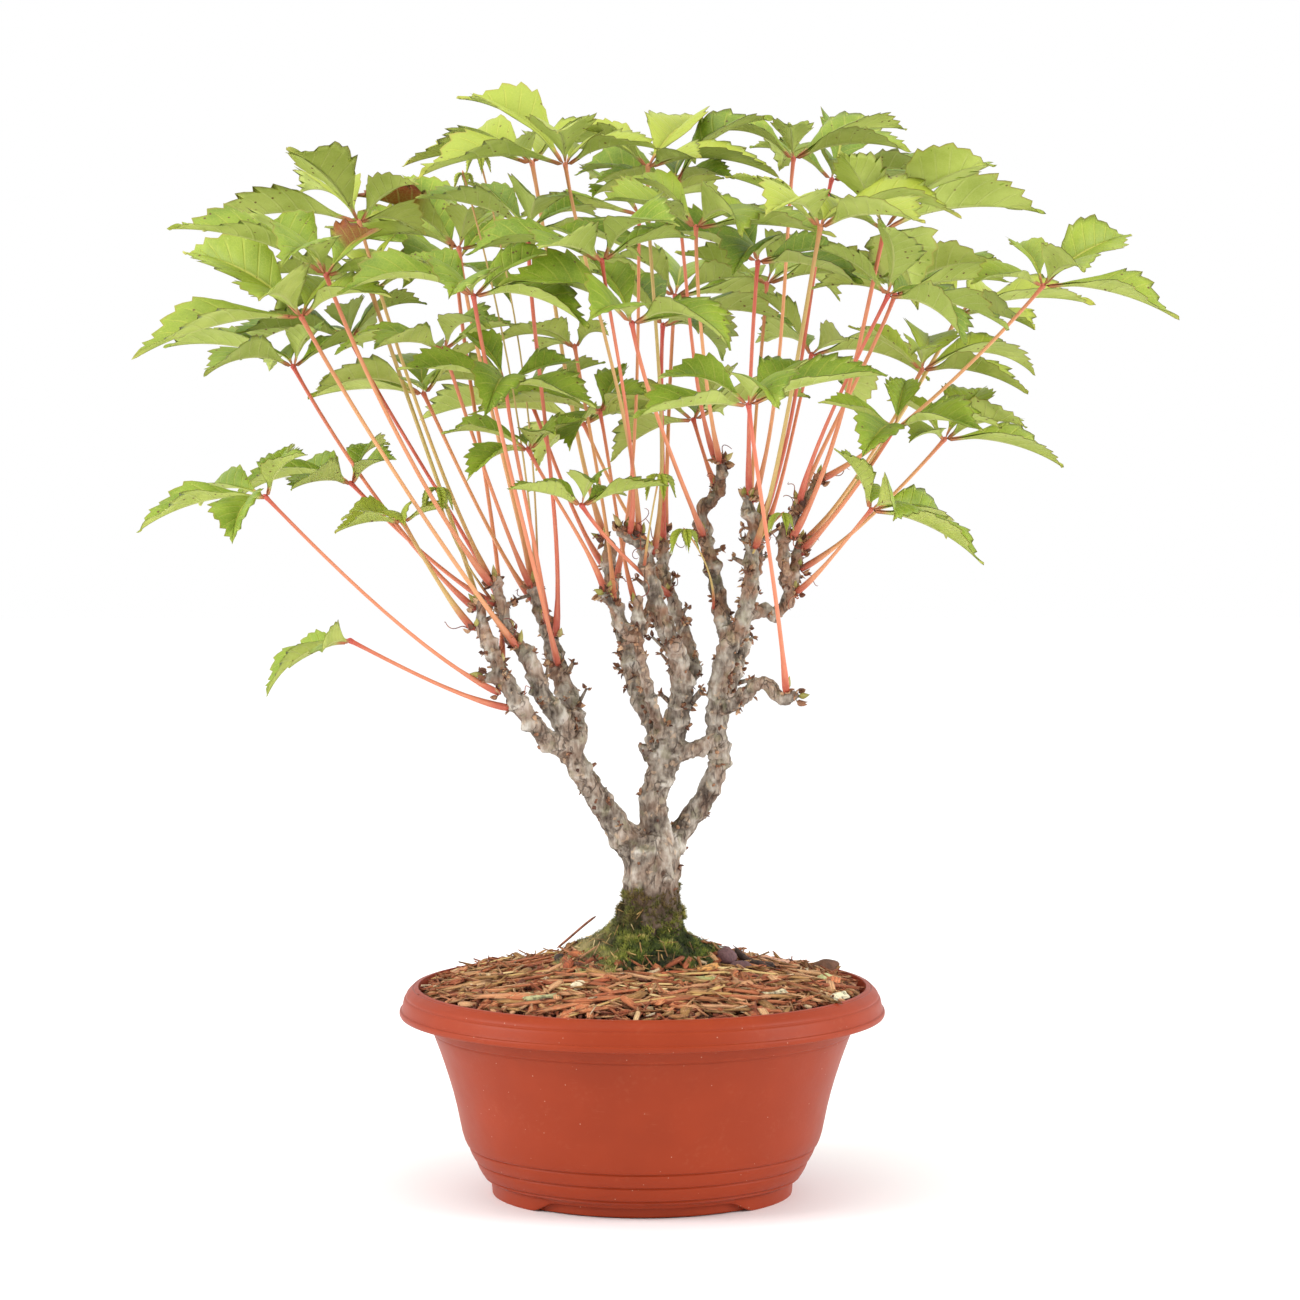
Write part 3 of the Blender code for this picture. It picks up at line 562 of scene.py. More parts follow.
def held(outline):
    """The outline with two more points close to each corner."""
    points = [Vector(point) for point in outline]
    made = [points[0]]
    for before, here, after in zip(points, points[1:], points[2:]):
        back, ahead = before - here, after - here
        if math.degrees(back.angle(-ahead)) > CORNER_ANGLE:
            made.append(here + back.normalized() * min(CORNER_HOLD, back.length * 0.3))
            made.append(here)
            made.append(here + ahead.normalized() * min(CORNER_HOLD, ahead.length * 0.3))
        else:
            made.append(here)
    return made + [points[-1]]


bowl = bmesh.new()
row = [bowl.verts.new((radius, 0, height)) for radius, height in held(outline)]
floor_top, floor_under = outline[0][1], outline[-1][1]
row = [bowl.verts.new((0, 0, floor_top))] + row + [bowl.verts.new((0, 0, floor_under))]
strand = [bowl.edges.new(pair) for pair in zip(row, row[1:])]
bmesh.ops.spin(bowl, geom=row + strand, cent=(0, 0, 0), axis=(0, 0, 1), dvec=(0, 0, 0),
               angle=2 * math.pi, steps=SPIN_STEPS, use_merge=True, use_duplicate=False)
bmesh.ops.remove_doubles(bowl, verts=bowl.verts[:], dist=1e-6)
for vert in bowl.verts:
    radius = math.hypot(vert.co.x, vert.co.y)
    if vert.co.z < skirt_top and radius > skirt_inside - 1e-5:
        lift = np.interp(math.atan2(vert.co.y, vert.co.x), lift_angles, lift_heights)
        vert.co.z += lift * (1 - vert.co.z / skirt_top)
bmesh.ops.translate(bowl, verts=bowl.verts[:], vec=axis)
bmesh.ops.recalc_face_normals(bowl, faces=bowl.faces[:])
print("spun:", len(bowl.faces), "faces")


# %% [markdown]
# The floor has one drain hole in the middle and six around it. Their places and size come from the
# CAD bowl's points at the height of the floor. Round rods stand where the holes will be, a Boolean
# takes them out of the bowl, and the rods are thrown away.

# %% Drain holes
RING_HOLES, FIRST_HOLE = 6, 30
ROD_LENGTH, ROD_DOWN = 0.008, 0.001
cad_bowl = merged("pot")
hole_spots = [vert.co - axis for vert in cad_bowl.verts
              if vert.co.z > floor_under - 1e-4 and vert.co.z < floor_top + 1e-4]
cad_bowl.free()
reach = [math.hypot(spot.x, spot.y) for spot in hole_spots]
ring_reach = [value for value in reach if 0.02 < value < 0.06]
hole_circle = (min(ring_reach) + max(ring_reach)) / 2
hole_radius = (max(ring_reach) - min(ring_reach)) / 2
rods = bmesh.new()
hole_places = [Vector((0, 0, 0))]
for n in range(RING_HOLES):
    angle = math.radians(FIRST_HOLE + 360 / RING_HOLES * n)
    hole_places.append(Vector((hole_circle * math.cos(angle), hole_circle * math.sin(angle), 0)))
for place in hole_places:
    middle_of_rod = axis + place + Vector((0, 0, floor_top - ROD_DOWN))
    bmesh.ops.create_cone(rods, cap_ends=True, segments=32, radius1=hole_radius, radius2=hole_radius,
                          depth=ROD_LENGTH, matrix=Matrix.Translation(middle_of_rod))
rods_object = new_object("rods", mesh_of(rods, "rods"))
print("holes", round(hole_radius, 4), "on", round(hole_circle, 4))

bowl_object = new_object("bowl", mesh_of(bowl, "bowl"))
soft = bowl_object.modifiers.new("soft", "SUBSURF")
soft.levels = soft.render_levels = 1
drain = bowl_object.modifiers.new("drain", "BOOLEAN")
drain.object = rods_object
bowl_mesh = evaluated(bowl_object)
bpy.data.objects.remove(rods_object)
print("bowl faces:", len(bowl_mesh.polygons))


# %% [markdown]
# The plastic is dull, with a faint skin like orange peel. Handling leaves short pale scratches,
# pale specks and a little dust here and there.

# %% Terracotta-coloured plastic
def plastic_look():
    look = Look("bowl_plastic", 0.42, Specular_IOR_Level=0.2)
    cloud = look.grain(0.035, 3)
    colour = look.mix(cloud.rises(0.35, 0.65), (143, 50, 20), (149, 53, 22))
    dust = look.grain(0.0025, 4).rises(0.5, 0.75) * look.grain(0.02).rises(0.45, 0.7)
    colour = look.mix(dust * 0.05, colour, (206, 140, 106))
    strokes = look.grain(0.011, 1, (1, 1, 26)).rises(0.69, 0.72) * look.grain(0.014).rises(0.56, 0.66)
    colour = look.mix(strokes * 0.12, colour, (206, 128, 98))
    specks = look.cells(0.0042).rises(0.085, 0.05) * look.grain(0.012).rises(0.5, 0.6)
    colour = look.mix(specks * 0.5, colour, (226, 184, 160))
    peel = look.grain(0.0011, 2) * 0.4 + look.grain(0.006, 1, (1, 1, 4)) * 0.6
    rough = 0.38 + look.grain(0.012, 3) * 0.12 + strokes * 0.1
    return look.finish(colour, peel, 0.00006, rough)


piece("bowl_shell", bowl_mesh, [plastic_look()], ["pot"])


# %% [markdown]
# ## Potting mix and mulch bed
# Most of the mix is hidden, so its CAD shape stays and gets a dark crumbly finish. The mulch
# starts as its CAD shape, made even and then roughened with noise, so that there is a lumpy ground
# for the loose chips to lie on.

# %% Crumbly ground
def crumb_look(name, dark, light):
    look = Look(name, 0.95)
    crumbs = look.cells(0.0022, "Color", wobble=0.001)
    patch = look.grain(0.006, 4)
    colour = look.mix(patch.rises(0.3, 0.7), dark, light)
    colour = look.mix(look.grain(0.0016, 2, where=crumbs).rises(0.5, 0.8) * 0.35, colour, (150, 110, 78))
    return look.finish(colour, look.cells(0.002) * -1 + patch, 0.0012)


mix_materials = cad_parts["potting_mix"].data.materials
mix_materials.clear()
mix_materials.append(crumb_look("potting_mix_crumbs", (46, 31, 24), (86, 60, 44)))


def bed_height(point):
    lumps = noise.noise(point / 0.006) * 0.0011 + noise.noise(point / 0.0022) * 0.0006
    return lumps - 0.0012


BED_CELL, BED_SMOOTHING = 0.0018, 2
bed = roughened(remeshed("mulch_layer", BED_CELL, BED_SMOOTHING), bed_height)
piece("mulch_bed", bed, [crumb_look("mulch_crumbs", (70, 40, 26), (146, 88, 54))],
      ["mulch_layer"])
print("bed faces:", len(bed.polygons))


# %% [markdown]
# ## Loose wood chips
# The mulch is shredded bark and wood: flat chips up to 25 mm long, thin fibres and a few broad
# flakes, red-brown, orange, straw and olive. A few small slabs with ragged ends are shaped from a
# cube each, and then copied all over the mound, turned and tipped at random. Grain runs along
# each chip, because the slab's own map says which way is lengthwise.

# %% Shapes of chips and straws
def chip_shape(name, seed, ragged, cuts):
    """A slab one unit long, with splintered ends and a wavy face."""
    bm = bmesh.new()
    bmesh.ops.create_cube(bm, size=1.0)
    if cuts:
        bmesh.ops.subdivide_edges(bm, edges=bm.edges[:], cuts=cuts, use_grid_fill=True)
    lengthwise = bm.loops.layers.uv.verify()
    for face in bm.faces:
        for loop in face.loops:
            spot = loop.vert.co
            loop[lengthwise].uv = (spot.x, spot.y + spot.z * 0.6)
    for vert in bm.verts:
        x, y, z = vert.co
        jag = noise.noise(Vector((seed, y * 2.7, z * 0.8)))
        bow = noise.noise(Vector((x * 1.3, seed, 0.5)))
        vert.co.x = x * (1 + ragged * jag)
        vert.co.y = y * (1 - 0.55 * abs(x) * abs(x)) + 0.22 * bow
        vert.co.z = z * (1 - 0.7 * abs(y)) + 0.5 * noise.noise(Vector((x * 1.7, y * 2.0, seed)))
    return mesh_of(bm, name)


def straw_shape(name, seed, bend, rows=9, around=6):
    """A thin flattened stem one unit long, bent a little."""
    def place(u, v):
        round_ = 2 * math.pi * v
        thin = np.sqrt(np.clip(1 - (2 * u - 1) ** 8, 0, 1))
        side = bend * np.sin(3.1 * u + seed) + 0.4 * bend * np.sin(7.7 * u + 2 * seed)
        rise = 0.5 * bend * np.cos(4.3 * u + seed)
        side, rise = side + 0.5 * thin * np.cos(round_), rise + 0.5 * thin * np.sin(round_)
        return np.stack([u - 0.5, side, rise], 1)

    return rolled_mesh(name, rows, around, place)


# %% [markdown]
# Each chip's tint picks its colour from a row of wood colours, from dark bark over orange to pale
# straw. Fine fibres run lengthwise, and a few paler and darker blotches break the colour up.

# %% Colours of wood and straw
def wood_look():
    look = Look("chip_wood", 0.85)
    along, across = look.along_and_round()
    tint = look.attribute("tint")
    spot = look.add("ShaderNodeCombineXYZ", {}, {0: along * 1.2, 1: across * 16.0, 2: tint * 37.0})
    fibre = look.grain(1.0, 3, where=spot)
    colour = look.ramp(tint, (0.0, (56, 26, 16)), (0.14, (118, 54, 30)), (0.30, (178, 90, 52)),
                       (0.46, (224, 134, 84)), (0.60, (248, 190, 138)), (0.70, (198, 146, 84)),
                       (0.80, (156, 116, 64)), (0.88, (210, 108, 66)), (0.96, (252, 212, 156)),
                       (1.0, (248, 230, 196)))
    colour = look.mix(fibre.rises(0.38, 0.62) * 0.6, colour, (96, 52, 32))
    colour = look.blotched(colour, (236, 186, 132), 0.003, 3, 0.52, 0.72, 0.4)
    colour = look.blotched(colour, (92, 50, 32), 0.012, 2, 0.55, 0.68, 0.35)
    return look.finish(colour, fibre, 0.0006)


def strand_look():
    look = Look("dry_strand", 0.8)
    colour = look.ramp(look.attribute("tint"), (0.0, (120, 84, 50)), (0.35, (176, 134, 78)),
                       (0.7, (206, 172, 108)), (1.0, (228, 204, 150)))
    colour = look.blotched(colour, (120, 88, 56), 0.0018, 2, 0.5, 0.8, 0.4)
    return look.finish(colour, look.grain(0.0009, 2), 0.0002)


chip_wood = wood_look()
dry_strand = strand_look()

# %% [markdown]
# To lie on the mound, a piece needs the height and the slope of the ground under it. Both come from
# a ray that falls on the CAD mulch and moss. Spots are drawn at random between two radii, and a
# spot too close to another one is left out, so that the pieces spread evenly.

# %% The ground under a spot
ground_parts = [merged("mulch_layer"), merged("moss_cushion")]
ground_trees = [BVHTree.FromBMesh(part) for part in ground_parts]
for part in ground_parts:
    part.free()
moss_low, moss_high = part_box("moss_cushion")
moss_radius = (moss_high.x - moss_low.x) / 2
mound_low, mound_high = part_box("mulch_layer")
mound_radius = (mound_high.x - mound_low.x) / 2
TRIES = 12


def ground(x, y):
    """The top of the mulch or moss under a spot, measured from the bowl's axis, and its normal."""
    start = Vector((axis.x + x, axis.y + y, rim_top + 0.2))
    hits = [tree.ray_cast(start, Vector((0, 0, -1))) for tree in ground_trees]
    hits = [(hit[0], hit[1]) for hit in hits if hit[0] is not None]
    if not hits:
        return Vector((start.x, start.y, rim_top)), Vector((0, 0, 1))
    return max(hits, key=lambda hit: hit[0].z)


def ring_spots(count, inner, outer, gap, chance):
    """Spots between two radii, no two closer than a gap."""
    kept = []
    for _ in range(count * TRIES):
        if len(kept) == count:
            break
        radius = math.sqrt(chance.uniform(inner ** 2, outer ** 2))
        angle = chance.uniform(0, 2 * math.pi)
        spot = (radius * math.cos(angle), radius * math.sin(angle))
        if all(abs(spot[0] - x) > gap or abs(spot[1] - y) > gap for x, y in kept):
            kept.append(spot)
    return kept


print("moss radius", round(moss_radius, 4), "mound radius", round(mound_radius, 4))


# %% [markdown]
# Five kinds of chip are laid one after the other, from crumbs to broad flakes and thin slivers. The
# broad ones lie flattest. Close to the wall a chip is shortened, so that none goes through it.

# %% Chips over the mound
CHIP_KINDS = (  # name, how many, cuts, length, width, thickness in mm, most tip, lift, gap in mm, tints
    ("crumbs", 2300, 0, (1.2, 3.6), (0.9, 2.2), (0.7, 1.6), 0.9, (-0.3, 1.4), 0.9, (0.0, 0.5)),
    ("chips_small", 1150, 1, (3.5, 8), (1.2, 3.4), (0.6, 1.5), 0.55, (0.0, 1.8), 1.6, (0.05, 1.0)),
    ("chips_flat", 430, 1, (8, 16), (2.2, 5.2), (0.7, 1.5), 0.40, (0.4, 2.2), 3.2, (0.1, 1.0)),
    ("chips_broad", 60, 2, (13, 23), (5.0, 8.5), (0.9, 1.8), 0.25, (0.9, 2.2), 9.0, (0.25, 0.95)),
    ("chips_slivers", 720, 1, (7, 19), (0.5, 1.4), (0.4, 0.9), 0.50, (0.8, 2.8), 1.6, (0.2, 1.0)),
)


def lay_chips():
    chance = random.Random(41)
    for number, (name, count, cuts, *spans, tip, lift, gap, tones) in enumerate(CHIP_KINDS):
        shape = chip_shape(name + "_shape", 2.3 + 1.7 * number, 0.55, cuts)
        places = []
        for x, y in ring_spots(count, moss_radius * 0.80, mound_radius - 0.004, gap * MM, chance):
            place, normal = ground(x, y)
            size = Vector([chance.uniform(*span) * MM for span in spans])
            rim_room = mound_radius - math.hypot(x, y)
            size.x = min(size.x, max(0.005, 1.7 * rim_room))
            place = place + Vector((0, 0, chance.uniform(*lift) * MM))
            places.append(standing(place, tilted(normal, tip, chance), any_turn(chance), size))
        copies = [(place, chance.uniform(*tones)) for place in places]
        scattered(name, shape, copies, chip_wood)
        print(name, len(copies))


lay_chips()


# %% [markdown]
# A few pieces among the chips are unlike the rest: a thin red-brown stick that leans on the moss,
# two stones, purple-grey lumps and dark bits of root behind it, and pale flakes. Each has its own
# shape, place and colour, so they are listed one by one.

# %% Odd pieces on the mulch
ODD_PIECES = (  # name, kind, x, y, lift, length, width, thickness (mm), heading, rise (degrees), colour
    ("dark_stone", "lump", -42, -8, 1.6, 7, 6, 5, 20, 0, (74, 58, 50)),
    ("cream_stone", "lump", -32, -61, 2.2, 10, 7, 6, 60, 0, (234, 216, 182)),
    ("pale_green_chip", "chip", -50, -76, 2.4, 16, 7, 2.4, 15, 5, (188, 184, 132)),
    ("olive_flake", "chip", 26, -52, 2.2, 17, 6, 2, 4, 4, (180, 176, 110)),
    ("orange_flake", "chip", 33, -33, 4.5, 12, 7, 2.2, 8, 10, (228, 164, 92)),
    ("purple_lump_left", "lump", 43, -4, 3.5, 11, 9, 9, 0, 0, (112, 78, 80)),
    ("purple_lump_right", "lump", 51, -12, 2.5, 12, 9, 7, 40, 0, (102, 70, 72)),
    ("root_piece_left", "stick", 58, 6, 4.0, 26, 4, 4, 160, 14, (70, 48, 40)),
    ("root_piece_right", "stick", 66, -8, 2.5, 24, 3.6, 3.6, 170, 3, (62, 42, 34)),
    ("red_brown_stick", "stick", -34, 4, 6.2, 27, 1.3, 1.3, 5, 37, (156, 98, 72)),
    ("brown_lump", "lump", 96, 40, 3.5, 15, 11, 9, 30, 0, (104, 66, 44)),
    ("pale_seed", "lump", 94, -8, 2.5, 9, 8, 5, 0, 0, (196, 196, 138)),
    ("cream_chip", "chip", 99, -44, 2.0, 10, 7, 2.6, 40, 10, (232, 222, 188)),
    ("pinkish_chip", "chip", 70, 30, 3.0, 17, 7, 2.2, 170, 12, (226, 170, 140)),
    ("pale_chip_left", "chip", 66, -60, 2.2, 12, 5, 2, 12, 6, (226, 212, 172)),
)


def lump_shape(name, seed):
    bm = bmesh.new()
    bmesh.ops.create_icosphere(bm, subdivisions=3, radius=0.5)
    for vert in bm.verts:
        vert.co *= 1 + 0.35 * noise.noise(vert.co * 2.2 + Vector((seed, 0, 0)))
    return mesh_of(bm, name)


def odd_shape(kind, name, seed):
    if kind == "lump":
        return lump_shape(name, seed)
    if kind == "stick":
        return straw_shape(name, seed, 0.9, 16, 8)
    return chip_shape(name, seed, 0.5, 4)


def lay_odd_pieces():
    for number, (name, kind, x, y, lift, *size, heading, rise, tint) in enumerate(ODD_PIECES):
        shape = odd_shape(kind, name, number + 0.37)
        place = ground(x * MM, y * MM)[0] + Vector((0, 0, lift * MM))
        turn = Matrix.Rotation(math.radians(heading), 4, "Z")
        lean = turn @ Matrix.Rotation(math.radians(-rise), 4, "Y")
        shape.transform(Matrix.Translation(place) @ lean
                        @ Matrix.Diagonal((*(value * MM for value in size), 1)))
        look = Look(name, 0.75)
        darker = tuple(value * (0.82 if kind == "lump" else 0.62) for value in tint)
        colour = look.mix(look.grain(0.0022, 4).rises(0.42, 0.66), tint, darker)
        piece(name, shape, [look.finish(colour, look.grain(0.0010, 4), 0.0005)])
    print("odd pieces", len(ODD_PIECES))


lay_odd_pieces()


# %% [markdown]
# Long straws and torn strips of bark lie on top, most of them across the front of the mound. They
# keep off the steep foot of the moss, where a long flat piece would stand up.

# %% Long straws and torn strips
STRAWS, STRIPS = 34, 190
STRAW_REACH = (0.048, 0.098)
STRIP_BACK, STRIP_LEVEL = 0.02, 0.95


def size_in_mm(chance, *spans):
    return tuple(chance.uniform(*span) * MM for span in spans)


def lay_straws_and_strips():
    chance = random.Random(77)
    straws, strips = [], []
    for n in range(STRAWS):
        reach = chance.uniform(*STRAW_REACH)
        angle = math.radians(chance.gauss(-95, 42) if n % 2 else chance.uniform(0, 360))
        place, normal = ground(reach * math.cos(angle), reach * math.sin(angle))
        size = size_in_mm(chance, (20, 42), (1.6, 3.4), (0.7, 1.2))
        place += normal * chance.uniform(1.6, 3.0) * MM
        lie = standing(place, tilted(normal, 0.08, chance), chance.gauss(0.1, 0.45), size)
        straws.append((lie, chance.uniform(0.3, 1.0)))
    for x, y in ring_spots(STRIPS, moss_radius * 0.9, mound_radius - 0.012, 6 * MM, chance):
        place, normal = ground(x, y)
        if y < STRIP_BACK and normal.z > STRIP_LEVEL:
            size = size_in_mm(chance, (14, 31), (2.4, 4.8), (0.7, 1.5))
            place += normal * chance.uniform(1.4, 3.2) * MM
            lie = standing(place, tilted(normal, 0.16, chance), chance.gauss(0, 0.4), size)
            strips.append((lie, chance.uniform(0.30, 0.95)))
    strip, straw = chip_shape("torn_strip", 5.1, 0.8, 2), straw_shape("long_straw", 1.9, 0.5, 16, 8)
    scattered("torn_strips", strip, strips, chip_wood)
    scattered("long_straws", straw, straws, dry_strand)
    print("straws", len(straws), "strips", len(strips))


lay_straws_and_strips()


# %% [markdown]
# ## Moss
# A cushion of moss climbs the foot of the trunk. It thins out and turns brown up the bark, and is
# greyer at the left, so the body of the cushion and its shoots share one pair of colour masks.

# %% Colours of the moss
moss_top = moss_high.z


def mossy(look, colour, dry, straw):
    """Browner up the trunk, where the moss thins out, and greyer on the left."""
    patch = look.grain(0.009, 2).rises(0.42, 0.58)
    upper = look.coordinate(2).rises(moss_top - 0.018, moss_top + 0.006)
    left = look.coordinate(0).rises(axis.x - 0.008, axis.x - 0.030)
    colour = look.mix(upper * (0.35 + patch * 0.5), colour, dry)
    return look.mix(left * (0.3 + patch * 0.6), colour, straw)


def moss_body_look():
    look = Look("moss_body", 0.95)
    patch = look.grain(0.012, 3)
    colour = look.mix(patch.rises(0.38, 0.62), (34, 34, 14), (84, 72, 36))
    colour = mossy(look, colour, (84, 62, 38), (104, 88, 56))
    return look.finish(colour, look.grain(0.0012, 4), 0.0010)


def shoot_look():
    look = Look("moss_shoot", 0.8)
    colour = look.ramp(look.attribute("tint"), (0.0, (28, 36, 10)), (0.35, (58, 72, 16)),
                       (0.62, (98, 110, 28)), (0.84, (150, 152, 54)), (1.0, (196, 178, 104)))
    colour = mossy(look, colour, (122, 98, 52), (184, 166, 116))
    return look.finish(colour, look.grain(0.0008, 2), 0.0002)


# %% [markdown]
# The cushion itself is a lumpy body, made from the CAD cushion as the mulch bed was. Its top is
# drawn in towards the bark with a ragged edge, as moss has no clear end where it climbs.

# %% Moss cushion
CUSHION_CELL, CUSHION_SMOOTHING = 0.0013, 3


def cushion_height(point):
    return (noise.noise(point / 0.011) * 0.0022 + noise.noise(point / 0.0045) * 0.0011
            + noise.noise(point / 0.0018) * 0.0005 - 0.0006)


def hugging(mesh):
    """Draws the top of the cushion in towards the bark, with a ragged upper edge."""
    points = vectors(mesh.vertices, "co")
    wood = vectors(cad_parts["tree"].data.vertices, "co")
    middle_line = wood[abs(wood[:, 2] - moss_top) < 0.008].mean(axis=0)
    share = smooth_step(points[:, 2], moss_top - 0.026, moss_top - 0.004)
    ragged = np.array([noise.noise(Vector(point) / 0.006) for point in points])
    points[:, :2] += (middle_line[:2] - points[:, :2]) * (0.34 * share)[:, None]
    points[:, 2] += share * (0.004 * ragged - 0.002)
    mesh.vertices.foreach_set("co", points.astype(np.float32).ravel())
    mesh.update()
    return mesh


cushion = roughened(remeshed("moss_cushion", CUSHION_CELL, CUSHION_SMOOTHING), cushion_height)
cushion = hugging(cushion)
piece("moss_body", cushion, [moss_body_look()], ["moss_cushion"])
print("cushion faces:", len(cushion.polygons))


# %% [markdown]
# Thousands of tiny pointed shoots stand on the cushion and on the bark just above it, bright where
# they are young, and dry strands of straw lie between them. They need the bark to stand on, so
# they are planted when it has been made.

# %% Moss shoots and strands
CUSHION_SHOOTS, BARK_SHOOTS, STRANDS = 13000, 26000, 420


def spike_shape(name, leaves, spread):
    """A tuft of narrow pointed leaves, each with three sides."""
    bm = bmesh.new()
    for n in range(leaves):
        tip_out = spread * (0.35 + 0.65 * (n % 2))
        lean = Matrix.Rotation(2 * math.pi * n / leaves, 4, "Z") @ Matrix.Rotation(tip_out, 4, "Y")
        bmesh.ops.create_cone(bm, cap_ends=True, segments=3, radius1=0.11, radius2=0.0, depth=1.0,
                              matrix=lean @ Matrix.Translation((0, 0, 0.5)))
    return mesh_of(bm, name)


def plant_moss():
    chance = random.Random(17)
    spots = [spot for spot in spots_on(cushion, CUSHION_SHOOTS, chance)
             if spot[1].z > -0.2 and spot[0].z > rim_top - 0.004]
    sleeve = [spot for spot in spots_on(bark_mesh, BARK_SHOOTS, chance)
              if spot[0].z < moss_top + (7 + 9 * noise.noise(spot[0] / 0.007)) * MM]
    green, shape = shoot_look(), spike_shape("shoot", 5, 0.75)
    for name, where in (("moss_shoots", spots), ("moss_sleeve", sleeve)):
        shoots = []
        for place, normal in where:
            patch = noise.noise(place / 0.010)
            if patch < -0.40 and chance.random() < 0.5:
                continue
            stray = Vector([chance.uniform(-0.4, 0.4) for _ in range(3)])
            up = (normal * 0.6 + Vector((0, 0, 0.6)) + stray).normalized()
            tall = chance.uniform(1.6, 3.4) * MM * (1.15 + 0.5 * patch)
            stand = standing(place - normal * 0.0005, up, any_turn(chance), (tall, tall, tall))
            shoots.append((stand, min(1, max(0, 0.42 + 0.75 * patch + chance.gauss(0, 0.16)))))
        scattered(name, shape, shoots, green)
        print(name, len(shoots))
    strands = []
    for place, normal in spots_on(cushion, STRANDS, chance):
        if place.z < rim_top or normal.z < -0.1:
            continue
        downhill = (Vector((place.x, place.y, 0)) - Vector((axis.x, axis.y, 0))).normalized()
        slope = (normal + downhill * 0.25).normalized()
        size = size_in_mm(chance, (4, 12), (0.25, 0.6), (0.25, 0.5))
        lie = standing(place + normal * chance.uniform(0.6, 2.6) * MM,
                       tilted(slope, 0.5, chance), any_turn(chance), size)
        strands.append((lie, chance.random()))
    scattered("moss_strands", straw_shape("strand", 0.7, 0.16), strands, dry_strand)
    print("strands", len(strands))


# %% [markdown]
# ## Trunk, limbs and bark
# Old creeper wood is knobbly and grey-brown: flaking bark along the limbs, rings and spurs where
# leaves fell in other years. The CAD tree gives the run and the girth of every limb. It is made
# into an even skin of small squares, smoothed, and roughened along its length with noise that is
# stretched upwards.

# %% The tree's skin
BARK_CELL, BARK_SMOOTHING = 0.00098, 5


def bark_height(point):
    drawn_out = Vector((point.x, point.y, point.z * 0.5))
    swirl = noise.noise(point / 0.009) * 0.003
    plates = abs(noise.noise((drawn_out + Vector((swirl, swirl, 0))) / 0.0036))
    cracks = max(0.0, 1 - abs(noise.noise(drawn_out / 0.0052 + Vector((7, 3, 5)))) / 0.10)
    flakes = noise.noise(drawn_out / 0.0017)
    rings = noise.noise(Vector((point.x / 0.012, point.y / 0.012, point.z / 0.0030)))
    knobs = max(0.0, noise.noise(point / 0.0075) - 0.12)
    bend = 1.1 * noise.noise(point / 0.020)
    joints = max(0.0, math.sin(2 * math.pi * (point.z / 0.0115 + bend))) ** 3
    joints *= min(1, max(0, (point.z - 0.19) / 0.04))
    return (0.0009 * (0.20 - plates) - 0.0007 * cracks + 0.0004 * flakes + 0.0005 * rings
            + 0.0038 * knobs + 0.0010 * joints)


bark_mesh = roughened(remeshed("tree", BARK_CELL, BARK_SMOOTHING), bark_height)
print("bark faces:", len(bark_mesh.polygons))


# %% [markdown]
# The relief also colours the bark: crevices and splits are dark, partly the bark's own colour and partly
# painted shade, and raised ridges pale.
# Red-brown patches show on the younger, higher wood, green-grey ones all over, and the foot is darker.

# %% Bark
def bark_look():
    look = Look("bark", 0.9)
    relief = look.attribute("relief")
    height = look.coordinate(2)
    fine = look.grain(0.0020, 5, (1, 1, 0.45))
    plates = look.cells(0.0048, feature="DISTANCE_TO_EDGE", stretch=(1, 1, 0.30), wobble=0.0045)
    splits = plates.rises(0.07, 0.01) * look.grain(0.007, 2).rises(0.46, 0.60)
    broad = look.grain(0.011, 2, (1, 1, 0.6))
    # Low relief darkens the colour and high relief makes it paler: partly the bark's own colour, partly
    # painted shade in the crevices.
    colour = look.ramp(relief * 0.17 + broad * 1.05 + fine * 1.0 - 0.54,
                       (0.10, (50, 38, 32)), (0.32, (104, 91, 80)), (0.52, (144, 132, 119)),
                       (0.72, (174, 163, 150)), (0.94, (202, 194, 183)))
    young = height.rises(0.235, 0.335)
    colour = look.blotched(colour, (156, 108, 78), 0.014, 3, 0.44, 0.60, 0.22 + young * 0.5)
    colour = look.blotched(colour, (134, 132, 98), 0.008, 3, 0.56, 0.68, 0.35)
    colour = look.blotched(colour, (204, 172, 142), 0.0045, 3, 0.60, 0.68, 0.5)
    # Darker towards the foot of the trunk, just above the moss.
    colour = look.mix(height.rises(0.162, 0.153) * 0.8, colour, (82, 60, 44))
    # The splits between plates are darkened: partly the bark's own colour, partly painted shade in the
    # cracks.
    colour = look.mix(splits * 0.55, colour, (58, 44, 34))
    return look.finish(colour, fine * 1.3 - splits * 0.6 + relief * 0.1, 0.0014)


bark = bark_look()
piece("tree_bark", bark_mesh, [bark], ["tree"])
plant_moss()


# %% [markdown]
# ## Leaves
# Each compound leaf is a long stalk, a small hub and up to five leaflets, and each CAD leaf is a
# coarse cage of just that. Its mesh tells where everything is: only a leaflet's tip has four
# edges, and stepping inwards from it crosses three sections of four points to the hub. The other
# end, where the stalk leaves the bark, is the one point with five edges whose neighbours all have
# five.

# %% Reading a leaf
TIP_EDGES, FOOT_EDGES = 4, 5


def steps_from(start):
    """Lists of points by how many edges away they are."""
    seen = {start}
    layers = [[start]]
    while layers[-1]:
        ahead = []
        for vert in layers[-1]:
            for edge in vert.link_edges:
                other = edge.other_vert(vert)
                if other not in seen:
                    seen.add(other)
                    ahead.append(other)
        layers.append(ahead)
    return layers[:-1]


def middle(verts):
    return sum((vert.co for vert in verts), Vector()) / len(verts)


def gap_of(pair):
    return (pair[0].co - pair[1].co).length


